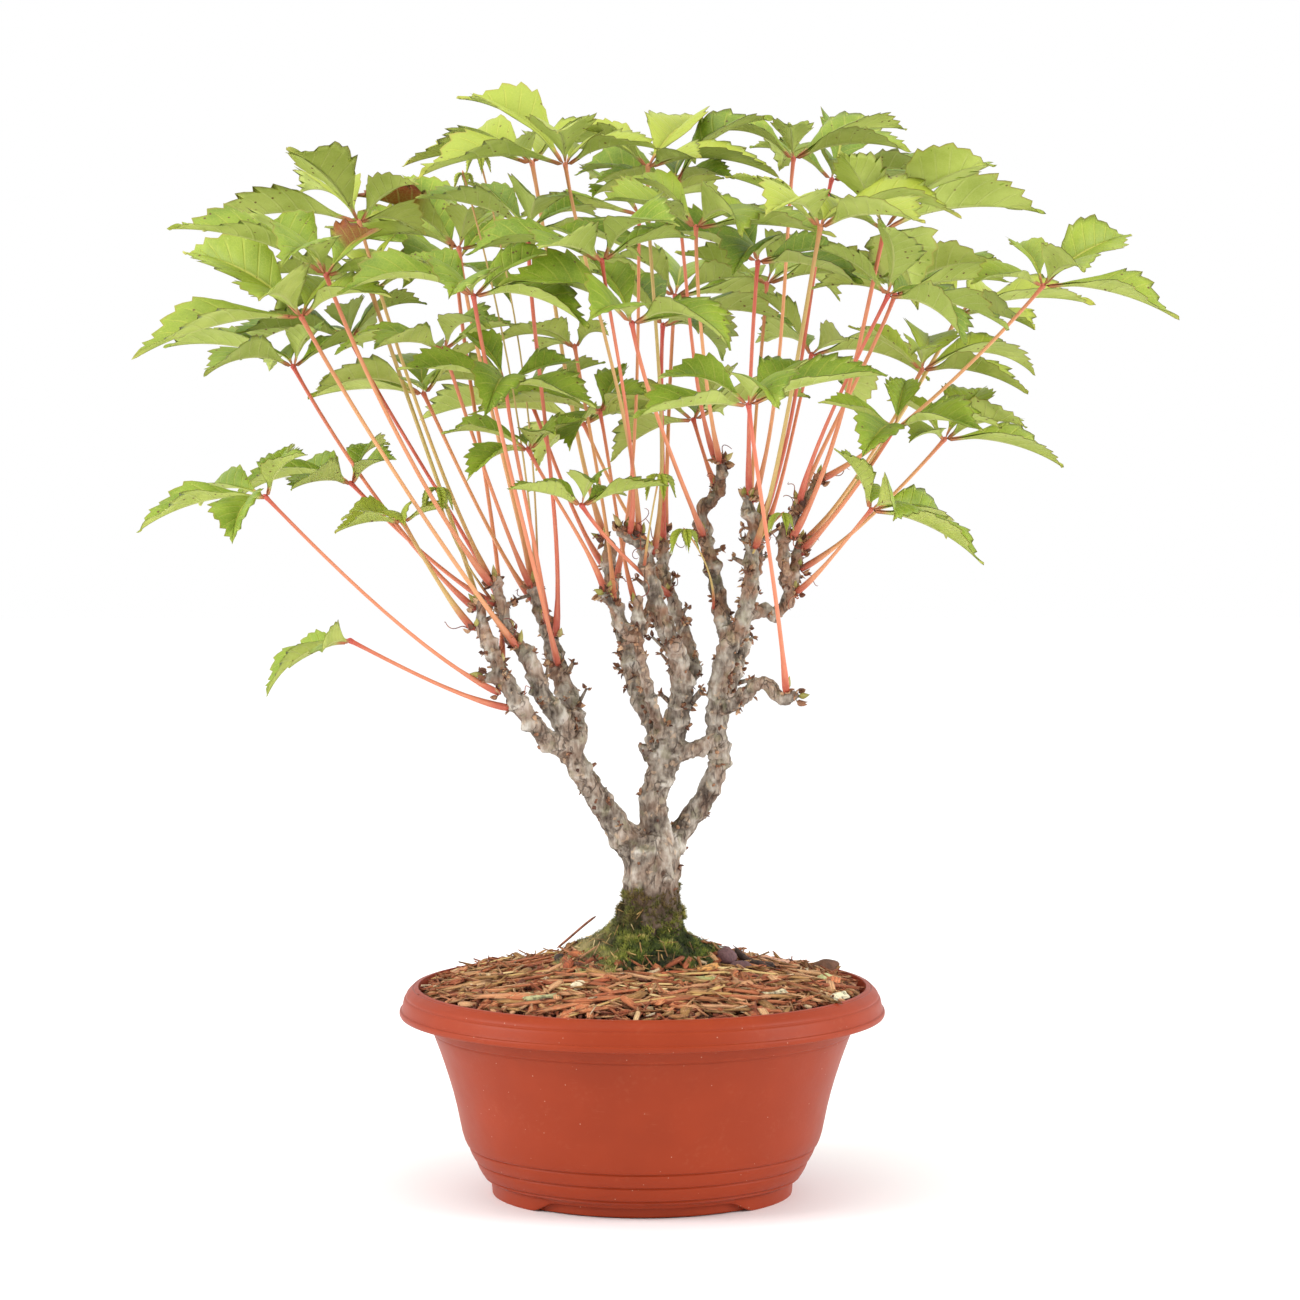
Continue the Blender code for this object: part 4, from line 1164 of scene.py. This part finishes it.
def opposite_pairs(section):
    """The four points of a section as two pairs that lie across from each other."""
    first = section[0]
    beside = [edge.other_vert(first) for edge in first.link_edges]
    across = next(vert for vert in section[1:] if vert not in beside)
    return [first, across], [vert for vert in section if vert not in (first, across)]


def read_leaf(node):
    """Centre lines and widths of a CAD leaf: rings of its stalk, its hub, and its leaflets."""
    bm = merged(node)
    foot = next(vert for vert in bm.verts if len(vert.link_edges) == FOOT_EDGES and all(
        len(edge.other_vert(vert).link_edges) == FOOT_EDGES for edge in vert.link_edges))
    rings = [middle(ring) for ring in steps_from(foot)[1:8]]
    rise = (rings[-1] - rings[-2]).normalized()
    hub = rings[-1] + rise * 1.1 * MM
    leaflets = []
    for tip in [vert for vert in bm.verts if len(vert.link_edges) == TIP_EDGES]:
        outer, wide, inner, quad = steps_from(tip)[1:5]
        margins, rib = sorted(opposite_pairs(wide), key=lambda pair: -gap_of(pair))
        far_rib = min(opposite_pairs(outer), key=gap_of)
        line = [hub.lerp(middle(quad), 0.5), middle(inner), middle(rib), middle(far_rib), tip.co.copy()]
        up = (middle(margins) - middle(rib)).normalized()
        left = up.cross(tip.co - hub).normalized()
        span = gap_of(margins) / 2
        raised = (middle(margins) - middle(rib)).length
        leaflets.append({"line": np.array(line), "left": np.array(left),
                         "half": math.hypot(span, raised), "fold": math.atan2(raised, span)})
    bm.free()
    return {"rings": np.array(rings), "hub": hub, "leaflets": leaflets}


# %% [markdown]
# A leaflet is wedge-shaped at its base, broadest beyond the middle, and drawn out to a point, with
# coarse teeth that point forwards. Side veins run from the midrib into the teeth, so the grid's
# rows are slanted to follow them: three rows to each tooth and vein. The blade sinks a little at
# the veins, swells between them, and ripples towards its edge. Below, the midrib stands out.

# %% One leaflet
ROWS, AROUND = 30, 20
ROWS_PER_TOOTH = 3
SECTIONS = (0.0, 0.12, 0.47, 0.78, 1.0)  # where the CAD leaflet's sections are along it
WIDE_SECTION = 0.88  # how wide its widest section is, as a share of the widest place
OUTLINE = (  # how far along, and how wide there
    (0.0, 0.0), (0.03, 0.035), (0.10, 0.045), (0.15, 0.10), (0.21, 0.26), (0.30, 0.53), (0.40, 0.82),
    (0.49, 0.98), (0.56, 1.0), (0.64, 0.91), (0.71, 0.74), (0.77, 0.52), (0.82, 0.32), (0.87, 0.18),
    (0.92, 0.10), (0.96, 0.055), (1.0, 0.0))
dense = np.linspace(0, 1, 201)
dense_width = np.interp(dense, *zip(*OUTLINE))
for _ in range(3):
    dense_width[3:-3] = np.convolve(dense_width, np.full(7, 1 / 7), "same")[3:-3]


def on_curve(factors, u):
    """Points of a polynomial curve, whose highest power comes first."""
    powers = range(len(factors) - 1, -1, -1)
    return sum(np.power(u, power)[:, None] * factor for factor, power in zip(factors, powers))


def slope_of(curve):
    return np.array([factor * power for factor, power in zip(curve, range(len(curve) - 1, 0, -1))])


def unit(rows):
    return rows / np.linalg.norm(rows, axis=1)[:, None]


def blade(leaflet, chance):
    """The formula for the skin of one leaflet."""
    curve = np.polyfit(SECTIONS, leaflet["line"], 4)
    slope = slope_of(curve)
    wide = leaflet["half"] / WIDE_SECTION
    fold = leaflet["fold"]
    lean = (chance.uniform(0.11, 0.14), chance.uniform(0.14, 0.18))
    teeth = np.array([[chance.uniform(0.55, 1.25) for _ in range(ROWS)] for _ in range(2)])
    teeth[:, ::5] *= 1.25
    shifts = chance.uniform(0, 6.3), chance.uniform(0, 6.3)
    waves = chance.uniform(1.5, 2.6)
    ripple = chance.uniform(0.05, 0.10)
    twist = chance.gauss(0, 0.16)

    def place(u, v):
        turn = 4 * v - 1
        above = turn <= 1 + 1e-9
        across = np.where(above, turn, 2 - turn)
        on_left = (across > 0).astype(int)
        share = np.abs(across)
        spread = share ** 1.3
        slant = np.where(on_left, lean[0], lean[1]) * 4 * u * (1 - u)
        row = np.rint(u * ROWS).astype(int)
        phase = (row % ROWS_PER_TOOTH) / (ROWS_PER_TOOTH - 1)
        at_edge = share > 0.999
        toothed = smooth_step(u, 0.22, 0.40) * (1 - smooth_step(u, 0.74, 0.90))
        tooth = phase * toothed * teeth[on_left, row // ROWS_PER_TOOTH] * at_edge
        margin = np.clip(u + slant + 0.9 * tooth / ROWS, 0, 1)
        along = u + (margin - u) * share ** 1.2
        half = wide * (np.interp(margin, dense, dense_width) + 0.20 * tooth)
        ahead = unit(on_curve(slope, along))
        left = unit(leaflet["left"] - ahead * (ahead @ leaflet["left"])[:, None])
        up = np.cross(ahead, left)
        bank = (twist * along)[:, None]
        left, up = left * np.cos(bank) + up * np.sin(bank), up * np.cos(bank) - left * np.sin(bank)
        body = smooth_step(u, 0.10, 0.25)
        ripples = np.sin(2 * math.pi * waves * u + np.where(on_left, *shifts))
        quilt = np.where(phase == 1, -1.0, 0.5) * 0.00030 * np.sin(math.pi * spread)
        height = half * spread * math.sin(fold) + 0.09 * half * np.sin(math.pi * spread)
        height += body * (ripple * wide * spread ** 2 * ripples + quilt)
        rib = np.clip(1 - spread / 0.13, 0, 1)
        thick = 0.00022 + rib * (0.00030 + 0.00062 * (1 - u)) + 0.0006 * (1 - body)
        height -= np.where(above, 0.00025 * rib * body, thick)
        sideways = np.sign(across) * half * spread * math.cos(fold)
        at_end = (row == 0) | (row == ROWS)
        height *= np.where(at_end, 0, 1)
        sideways *= np.where(at_end, 0, 1)
        centre = np.where(at_end[:, None], on_curve(curve, u), on_curve(curve, along))
        return centre + left * sideways[:, None] + up * height[:, None]

    return place


print("rows", ROWS, "points around", AROUND, "teeth to a side", ROWS // ROWS_PER_TOOTH)


# %% [markdown]
# A stalk is nearly straight, swollen and red at its foot, thin and peach in the middle, and ends
# in a small red knob that the leaflets spring from. Its centre line in the CAD is a cubic, so a
# cubic through the CAD rings gives it back exactly.

# %% One stalk
STALK_ROWS, STALK_ROUND = 30, 10
RING_SHARES = (0.0, 0.03, 0.10, 0.38, 0.70)  # where the CAD stalk's rings are along it
LAST_RING = 0.0045  # how far before the hub the last ring is
SWELLING = 0.004  # how long the swollen foot is
STALK_RADII = (0.0, 1.9, 2.15, 1.9, 1.28, 1.06, 1.12, 1.32, 1.75, 0.0)


def stalk(leaf, chance, girth=1.0):
    """The formula for the skin of one stalk."""
    rings, hub = leaf["rings"], np.array(leaf["hub"])
    span = np.linalg.norm(hub - rings[0])
    shares = (*RING_SHARES, 1 - LAST_RING / span, 1.0)
    curve = np.polyfit(shares, np.vstack([rings[:6], hub]), 3)
    slope = slope_of(curve)
    thick = chance.uniform(0.80, 0.98) * MM * girth
    swell = SWELLING / span
    knots = (-swell * 0.4, 0.0, swell, 3 * swell, 6 * swell, 0.5,
             1 - 3 * swell, 1 - swell, 1.0, 1 + 0.45 * swell)

    def place(u, v):
        share = np.interp(u, np.linspace(0, 1, 7),
                          (knots[0], knots[1], knots[3], 0.3, 0.7, knots[7], knots[-1]))
        ahead = unit(on_curve(slope, np.clip(share, 0, 1)))
        side = unit(np.cross(ahead, (0.3, 1.0, 0.2)))
        other = np.cross(ahead, side)
        round_ = 2 * math.pi * v[:, None]
        radius = np.interp(share, knots, STALK_RADII) * thick
        radius = np.where((u < 1e-6) | (u > 1 - 1e-6), 0, np.maximum(radius, 0.0002))
        return on_curve(curve, share) + (side * np.cos(round_) + other * np.sin(round_)) * radius[:, None]

    return place


print("stalk rows", STALK_ROWS, "points around", STALK_ROUND)


# %% [markdown]
# The upper side of a leaflet is yellow-green and a little shiny, and the underside dull and paler, partly
# its own colour and partly painted light shining through the leaf.
# Veins are pale, edges faintly brown, and a few brown specks lie on most leaves. One old leaflet
# has turned red-brown beyond a side vein. All this follows the leaflet's own map: along it in one
# direction, and round it in the other, with the upper side first.

# %% Finish of the leaflets
def leaf_look():
    look = Look("leaf_blade", 0.5, Specular_IOR_Level=0.35)
    along, round_ = look.along_and_round()
    tone, blush = look.attribute("tone"), look.attribute("blush")
    under = round_.rises(0.4999, 0.5001)
    turn = round_ * 4 - 1
    across = turn.math("PINGPONG", turn, 1.0)
    stem = along.rises(0.15, 0.05)
    rib = (across - stem * 0.9 + along * 0.03).rises(0.115, 0.05)
    vein_phase = along * (ROWS / ROWS_PER_TOOTH) + 1 / 3
    vein = vein_phase.math("PINGPONG", vein_phase, 0.5).rises(0.10, 0.025)
    vein = vein * along.rises(0.10, 0.16) * across.rises(0.98, 0.75)
    net = look.cells(0.0021, feature="DISTANCE_TO_EDGE").rises(0.10, 0.02)
    patch = look.grain(0.018, 3)
    top = look.mix(patch.rises(0.35, 0.65), (112, 137, 30), (139, 161, 45))
    top = look.mix(tone.rises(0.35, 1.0), top, (164, 176, 62))
    top = look.mix(tone.rises(0.35, 0.0) * 0.75, top, (88, 118, 30))
    # The underside's pale colours are partly its own and partly painted light shining through the leaf.
    low = look.mix(patch.rises(0.3, 0.7), (155, 169, 72), (178, 190, 94))
    low = look.mix(tone.rises(0.4, 0.0) * 0.5, low, (138, 155, 72))
    colour = look.mix(under, top, low)
    warm = blush * (along + look.grain(0.02, 2) * 0.25).rises(0.42, 0.60)
    colour = look.mix(warm, colour, (150, 96, 44))
    colour = look.mix(warm * across.rises(0.5, 1.0) * 0.8, colour, (150, 60, 44))
    pale = look.mix(under, (196, 196, 84), (192, 198, 118))
    colour = look.mix(net * 0.14 + vein * 0.27, colour, pale)
    colour = look.mix(rib * 0.85, colour, look.mix(stem, pale, (190, 104, 80)))
    colour = look.mix(across.rises(0.94, 1.0) * 0.45, colour, (160, 128, 62))
    yellow = (along + patch * 0.4).rises(0.98, 1.26) * tone
    colour = look.mix(yellow * 0.55, colour, (190, 166, 76))
    specks = look.cells(0.0048).rises(0.18, 0.10) * look.grain(0.016, 2).rises(0.46, 0.56)
    colour = look.mix(specks * 0.9, colour, (96, 56, 28))
    relief = patch * 0.4 + net * -0.12 - (vein * 0.7 + rib) * (1 - 2 * under)
    return look.finish(colour, relief, 0.00035, 0.44 + under * 0.22 + look.grain(0.004, 2) * 0.08)


leaf_blade = leaf_look()
print("leaflet material has", len(leaf_blade.node_tree.nodes), "nodes")


# %% [markdown]
# Stalks are dark red at the foot, red again below the hub, and anything from pink over peach to
# olive between, each by its own tone. A few stalks at the left and at the front are pinker than
# the others, and two leaflets have turned.

# %% Finish of the stalks
def stalk_look():
    look = Look("leaf_stalk", 0.42, Specular_IOR_Level=0.4)
    along = look.along_and_round()[0]
    tone = look.attribute("tone")
    middle_tone = look.ramp(tone, (0.0, (204, 92, 80)), (0.32, (218, 134, 98)),
                            (0.7, (222, 166, 112)), (1.0, (188, 164, 98)))
    far = along.rises(0.62, 0.95)
    near = along.rises(0.48, 0.18)
    colour = look.mix(far * (1.15 - tone * 0.6), middle_tone, (186, 62, 56))
    colour = look.mix(near * (0.75 + tone * 0.2), colour, (172, 70, 58))
    colour = look.mix(along.rises(0.20, 0.02), colour, (138, 40, 42))
    streak = look.grain(1.0, 2, (26, 5, 1), where=look.add("ShaderNodeTexCoord", output="UV"))
    colour = look.mix(streak.rises(0.45, 0.75) * 0.3, colour, (222, 160, 126))
    return look.finish(colour, streak, 0.0001)


leaf_stalk = stalk_look()
BLUSHING = {"leaf_12": (4,), "leaf_37": (0,)}  # leaflets that have turned red-brown
STALK_TONES = {"leaf_02": 0.30, "leaf_03": 0.26, "leaf_06": 0.34, "leaf_07": 0.30,
               "leaf_11": 0.26, "leaf_23": 0.30}
print("stalk tones given for", len(STALK_TONES), "of", len(leaf_nodes), "leaves")


# %% [markdown]
# Each leaf becomes one mesh with its leaflets and its stalk, and takes the place of its CAD leaf.
# Where its stalk leaves the bark, and in which direction, is kept for the buds and tendrils.

# %% Build the leaves
def build_leaves():
    feet, faces = [], 0
    for number, node in enumerate(leaf_nodes):
        chance = random.Random(500 + number)
        leaf = read_leaf(node)
        bm = bmesh.new()
        blush = []
        for n, leaflet in enumerate(leaf["leaflets"]):
            rolled(bm, ROWS, AROUND, blade(leaflet, chance))
            blush += [float(n in BLUSHING.get(node, ()))] * (len(bm.verts) - len(blush))
        rolled(bm, STALK_ROWS, STALK_ROUND, stalk(leaf, chance), look=1)
        blush += [0.0] * (len(bm.verts) - len(blush))
        mesh = mesh_of(bm, node + "_fine")
        add_values(mesh, "blush", blush)
        add_values(mesh, "tone", np.full(len(blush), STALK_TONES.get(node, chance.random())))
        piece(node + "_fine", mesh, [leaf_blade, leaf_stalk], [node])
        faces += len(mesh.polygons)
        foot, ahead = Vector(leaf["rings"][0]), Vector(leaf["rings"][2])
        feet.append((foot, (ahead - foot).normalized()))
    print("leaves", len(leaf_nodes), "faces", faces)
    return feet


leaf_feet = build_leaves()


# %% [markdown]
# ## Buds, scales and spurs
# In the angle above each stalk sits a green bud with brown scales round it, and every limb ends in
# such a bud. Short dark spurs stand where stalks and tendrils broke off. All are copies of a few
# small pointed shapes, placed on the bark.

# %% Shapes of buds, scales and spurs
def bud_shape():
    """A pointed bud one unit long, bent over a little."""
    def place(u, v):
        round_ = 2 * math.pi * v
        girth = 0.5 * (np.sin(math.pi * u ** 0.8) * (1 - 0.35 * u))
        return np.stack([girth * np.cos(round_) + 0.25 * u ** 2, girth * np.sin(round_), u], 1)

    return rolled_mesh("bud", 8, 8, place)


def scale_shape():
    """A dry scale: a small pointed cup, bent over and split at its edge."""
    def place(u, v):
        across = np.sin(2 * math.pi * v)
        side = np.cos(2 * math.pi * v)
        broad = np.sin(math.pi * u) ** 0.6 * (1 - 0.5 * u)
        bent = 0.35 * broad * side ** 2 * -1 + 0.10 * across * np.sin(math.pi * u) + 0.5 * u ** 2
        return np.stack([bent, 0.5 * broad * side, u], 1)

    return rolled_mesh("scale", 5, 8, place)


def spur_shape():
    """A blunt, lumpy stump one unit long."""
    bm = bmesh.new()
    bmesh.ops.create_cone(bm, cap_ends=True, segments=7, radius1=0.5, radius2=0.32, depth=1.0,
                          matrix=Matrix.Translation((0, 0, 0.5)))
    bmesh.ops.subdivide_edges(bm, edges=bm.edges[:], cuts=1, use_grid_fill=True)
    for vert in bm.verts:
        spot = vert.co * 2.1
        lumps = [noise.noise(spot + Vector((step, 0, 0))) for step in (0, 7, 14)]
        vert.co += Vector(lumps) * 0.16
    bmesh.ops.recalc_face_normals(bm, faces=bm.faces[:])
    return mesh_of(bm, "spur")


def bud_look():
    look = Look("bud_green", 0.55)
    colour = look.ramp(look.attribute("tint"), (0.0, (128, 124, 56)), (0.5, (160, 154, 78)),
                       (1.0, (186, 170, 110)))
    colour = look.blotched(colour, (150, 104, 58), 0.003, 2, 0.5, 0.75, 0.5)
    return look.finish(colour, look.grain(0.0008, 2), 0.0002)


def scale_look():
    look = Look("bud_scale", 0.75)
    colour = look.ramp(look.attribute("tint"), (0.0, (74, 44, 34)), (0.35, (128, 82, 58)),
                       (0.7, (172, 126, 92)), (1.0, (204, 168, 132)))
    colour = look.blotched(colour, (76, 46, 34), 0.0014, 2, 0.45, 0.75, 0.5)
    return look.finish(colour, look.grain(0.0007, 2), 0.0003)


small_shapes = {"bud": bud_shape(), "scale": scale_shape(), "spur": spur_shape()}
print("points of a", {name: len(shape.vertices) for name, shape in small_shapes.items()})


# %% [markdown]
# The CAD tree doesn't say where its limbs end. An end is a point that is farther from the ground,
# along the wood's edges, than all points near it. The way along the wood is found as on a road map:
# always going on from the nearest point not yet done.

# %% Ends of the limbs
END_ZONE, ENDS_APART = 0.011, 0.012
END_ABOVE_RIM = 0.06


def limb_ends():
    """Where the limbs of the CAD tree end: the points farthest from the ground along the wood."""
    bm = merged("tree")
    start = min(bm.verts, key=lambda vert: vert.co.z)
    far = {start: 0.0}
    queue = [(0.0, start.index)]
    bm.verts.ensure_lookup_table()
    while queue:
        run, index = heapq.heappop(queue)
        vert = bm.verts[index]
        if run > far[vert]:
            continue
        for edge in vert.link_edges:
            other = edge.other_vert(vert)
            total = run + edge.calc_length()
            if total < far.get(other, 1e9):
                far[other] = total
                heapq.heappush(queue, (total, other.index))
    ends = []
    for vert in sorted(far, key=far.get, reverse=True):
        near = [other for other in far if (other.co - vert.co).length < END_ZONE]
        if vert.co.z > rim_top + END_ABOVE_RIM and all(far[other] <= far[vert] for other in near):
            back = middle(near)
            if all((vert.co - place).length > ENDS_APART for place, _ in ends):
                ends.append((vert.co.copy(), (vert.co - back).normalized()))
    bm.free()
    return ends


twig_ends = limb_ends()
print("limb ends", len(twig_ends))


# %% [markdown]
# A bud stands in the angle above each stalk and at each limb's end, in a rosette of dry scales. All
# the buds, scales, spurs and stubs are collected first, and then made as four pieces.

# %% Buds and their scales
twig_chance = random.Random(23)
buds, scales, spurs, stubs = [], [], [], []


def add_scales(place, up, count, reach, longest):
    """A rosette of scales round a spot."""
    for n in range(count):
        round_ = 2 * math.pi * (n + twig_chance.uniform(-0.3, 0.3)) / count
        spot = Matrix.Rotation(round_, 3, up) @ up.orthogonal().normalized()
        lean = (up * 0.8 + spot * twig_chance.uniform(0.3, 1.1)).normalized()
        size = twig_chance.uniform(0.5, 1.0) * longest
        scale = standing(place + spot * reach, lean, any_turn(twig_chance),
                         (size * 0.7, size * 0.9, size))
        scales.append((scale, twig_chance.random()))


def add_bud(place, up, wide, long):
    buds.append((standing(place, up, any_turn(twig_chance), (wide, wide, long)), twig_chance.random()))


for place, out in leaf_feet:
    stray = Vector((twig_chance.uniform(-0.3, 0.3), twig_chance.uniform(-0.3, 0.3), 0))
    up = (Vector((0, 0, 1)) * 0.9 + out * 0.35 + stray).normalized()
    long = twig_chance.uniform(4.5, 8.5) * MM
    spot = place + (up - out * up.dot(out)).normalized() * 2.6 * MM
    add_bud(spot - up * 0.8 * MM, up, 3.5 * MM, long)
    add_scales(place - out * 0.3 * MM, out, 6, 1.9 * MM, 4.6 * MM)
for place, out in twig_ends:
    long = twig_chance.uniform(5, 9) * MM
    add_bud(place - out * 1.2 * MM, tilted(out, 0.3, twig_chance), 3.7 * MM, long)
    add_scales(place - out * 2.2 * MM, out, 9, 2.2 * MM, 5.4 * MM)
print("buds", len(buds), "scales", len(scales))


# %% [markdown]
# Spurs are strewn over the whole of the wood above the bowl. Higher up, some of them have a dead
# stub of a twig beside them, and many have scales of their own.

# %% Spurs and stubs
SPURS = 420
SPUR_ABOVE_RIM, UPPER_WOOD = 0.05, 0.25
for place, normal in spots_on(bark_mesh, SPURS, twig_chance):
    if place.z < rim_top + SPUR_ABOVE_RIM:
        continue
    up = (normal + Vector((0, 0, twig_chance.uniform(0.1, 0.9)))).normalized()
    wide, tall = size_in_mm(twig_chance, (0.9, 2.4), (0.8, 2.8))
    spur = standing(place - up * 0.5 * MM, up, any_turn(twig_chance), (wide, wide, tall))
    spurs.append((spur, twig_chance.random() * 0.8))
    if place.z > UPPER_WOOD and twig_chance.random() < 0.22:
        up = (normal + Vector((0, 0, twig_chance.uniform(0.2, 1.2)))).normalized()
        wide, tall = size_in_mm(twig_chance, (2.0, 3.2), (4, 11))
        stubs.append((standing(place - up * MM, up, any_turn(twig_chance), (wide, wide, tall)), 0.5))
        add_scales(place + up * (tall - 2 * MM), up, 5, 0.8 * MM, 3.6 * MM)
    if twig_chance.random() < (0.3 if place.z < UPPER_WOOD else 0.7):
        add_scales(place, normal, 3, 0.7 * MM, 3.4 * MM)

scale_brown = scale_look()
scattered("buds", small_shapes["bud"], buds, bud_look())
scattered("bud_scales", small_shapes["scale"], scales, scale_brown)
scattered("spurs", small_shapes["spur"], spurs, scale_brown)
scattered("stubs", small_shapes["spur"], stubs, bark)
print("scales", len(scales), "spurs", len(spurs), "stubs", len(stubs))


# %% [markdown]
# Six leaves are still very young: narrow yellow-green leaflets that hang from thin olive stalks.
# They are made by the same formulas as the full-grown leaves, only smaller and thinner.

# %% Young leaves
YOUNG_LEAVES = (  # hub, about where the stalk leaves the bark, and length of a leaflet, all in mm
    ((0, -58, 372), (-6, -30, 322), 19),
    ((13, -52, 344), (20, -25, 306), 18),
    ((-113, -30, 364), (-84, -20, 300), 20),
    ((-93, 12, 534), (-60, 0, 330), 15),
    ((-100, -12, 524), (-64, -6, 334), 12),
    ((62, -48, 352), (44, -20, 318), 16),
)


def grow_young_leaves():
    for number, (hub, guess, length) in enumerate(YOUNG_LEAVES, start=1):
        chance = random.Random(900 + number)
        hub = Vector(hub) * MM
        foot = bark_tree.find_nearest(Vector(guess) * MM)[0]
        span = (hub - foot).length
        shares = (*RING_SHARES, 1 - LAST_RING / span)
        sag = Vector((chance.uniform(-0.3, 0.3), chance.uniform(-0.3, 0.3), 0)) * span
        rings = [foot.lerp(hub, share) + sag * share * (1 - share) for share in shares]
        bm = bmesh.new()
        for n in range(5):
            bearing = 2 * math.pi * (n + chance.uniform(-0.2, 0.2)) / 5
            out = Vector((math.cos(bearing), math.sin(bearing), 0))
            long = length * MM * chance.uniform(0.7, 1.0)
            line = [hub + out * long * 0.55 * share + Vector((0, 0, 0.25 * share - 1.0 * share ** 2)) * long
                    for share in (0.03, *SECTIONS[1:])]
            leaflet = {"line": np.array(line), "left": np.array(Vector((0, 0, 1)).cross(out)),
                       "half": long * 0.15, "fold": 0.7}
            rolled(bm, ROWS, AROUND, blade(leaflet, chance))
        thin_stalk = stalk({"rings": np.array(rings), "hub": hub}, chance, 0.45)
        rolled(bm, STALK_ROWS, STALK_ROUND, thin_stalk, look=1)
        mesh = mesh_of(bm, f"young_leaf_{number:02d}")
        add_values(mesh, "tone", np.ones(len(mesh.vertices)))
        add_values(mesh, "blush", np.zeros(len(mesh.vertices)))
        piece(mesh.name, mesh, [leaf_blade, leaf_stalk])
    print("young leaves", len(YOUNG_LEAVES))


bark_tree = BVHTree.FromPolygons([vert.co for vert in bark_mesh.vertices],
                                 [tuple(face.vertices) for face in bark_mesh.polygons])
grow_young_leaves()


# %% [markdown]
# Beside some leaf feet a thin dark-red tendril curls up, tighter and tighter towards its end. It is
# the same rolled sheet again, bent along a winding line.

# %% Tendrils
TENDRIL_RADIUS = 0.00036


def tendril(start, up, chance):
    """The formula for a thin curl that winds up tighter and tighter."""
    side = up.orthogonal().normalized()
    side = Matrix.Rotation(chance.uniform(0, 6.3), 3, up) @ side
    other = up.cross(side)
    long = chance.uniform(9, 17) * MM
    turns = chance.uniform(0.8, 1.8)
    wide = chance.uniform(2.0, 4.5) * MM
    axes = [np.array(direction) for direction in (up, side, other)]

    def centre(u):
        swing = 2 * math.pi * turns * u ** 1.5
        reach = wide * u * (1.3 - u * 0.6)
        parts = (long * u, reach * np.cos(swing) + 0.6 * long * u, reach * np.sin(swing))
        return np.array(start) + sum(part[:, None] * way for part, way in zip(parts, axes))

    def place(u, v):
        round_ = 2 * math.pi * v[:, None]
        radius = TENDRIL_RADIUS * (1 - 0.5 * u) * np.where((u < 1e-6) | (u > 1 - 1e-6), 0, 1)
        ahead = unit(centre(u + 0.01) - centre(u))
        first = unit(np.cross(ahead, axes[1] + 0.3 * axes[2]))
        second = np.cross(ahead, first)
        return centre(u) + radius[:, None] * (first * np.cos(round_) + second * np.sin(round_))

    return place


def grow_tendrils():
    chance = random.Random(61)
    bm = bmesh.new()
    starts = [foot for foot in leaf_feet if chance.random() < 0.5]
    for place, out in starts:
        up = Vector([chance.uniform(*span) for span in ((-1, 1), (-1, 0.3), (-0.2, 1))]).normalized()
        rolled(bm, 22, 6, tendril(place - out * 0.8 * MM, up, chance))
    look = Look("tendril_red", 0.6)
    colour = look.mix(look.grain(0.006, 2).rises(0.4, 0.6), (112, 40, 34), (164, 92, 58))
    red = look.finish(colour, look.grain(0.001, 2), 0.0001)
    piece("tendrils", mesh_of(bm, "tendrils"), [red])
    print("tendrils", len(starts))


grow_tendrils()


# %% Measure and finish
model_low, model_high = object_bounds()
outer, inner = (*cad_low, *model_high), (*model_low, *cad_high)
print("grown by (mm)", [round((high - low) / MM, 1) for high, low in zip(outer, inner)])
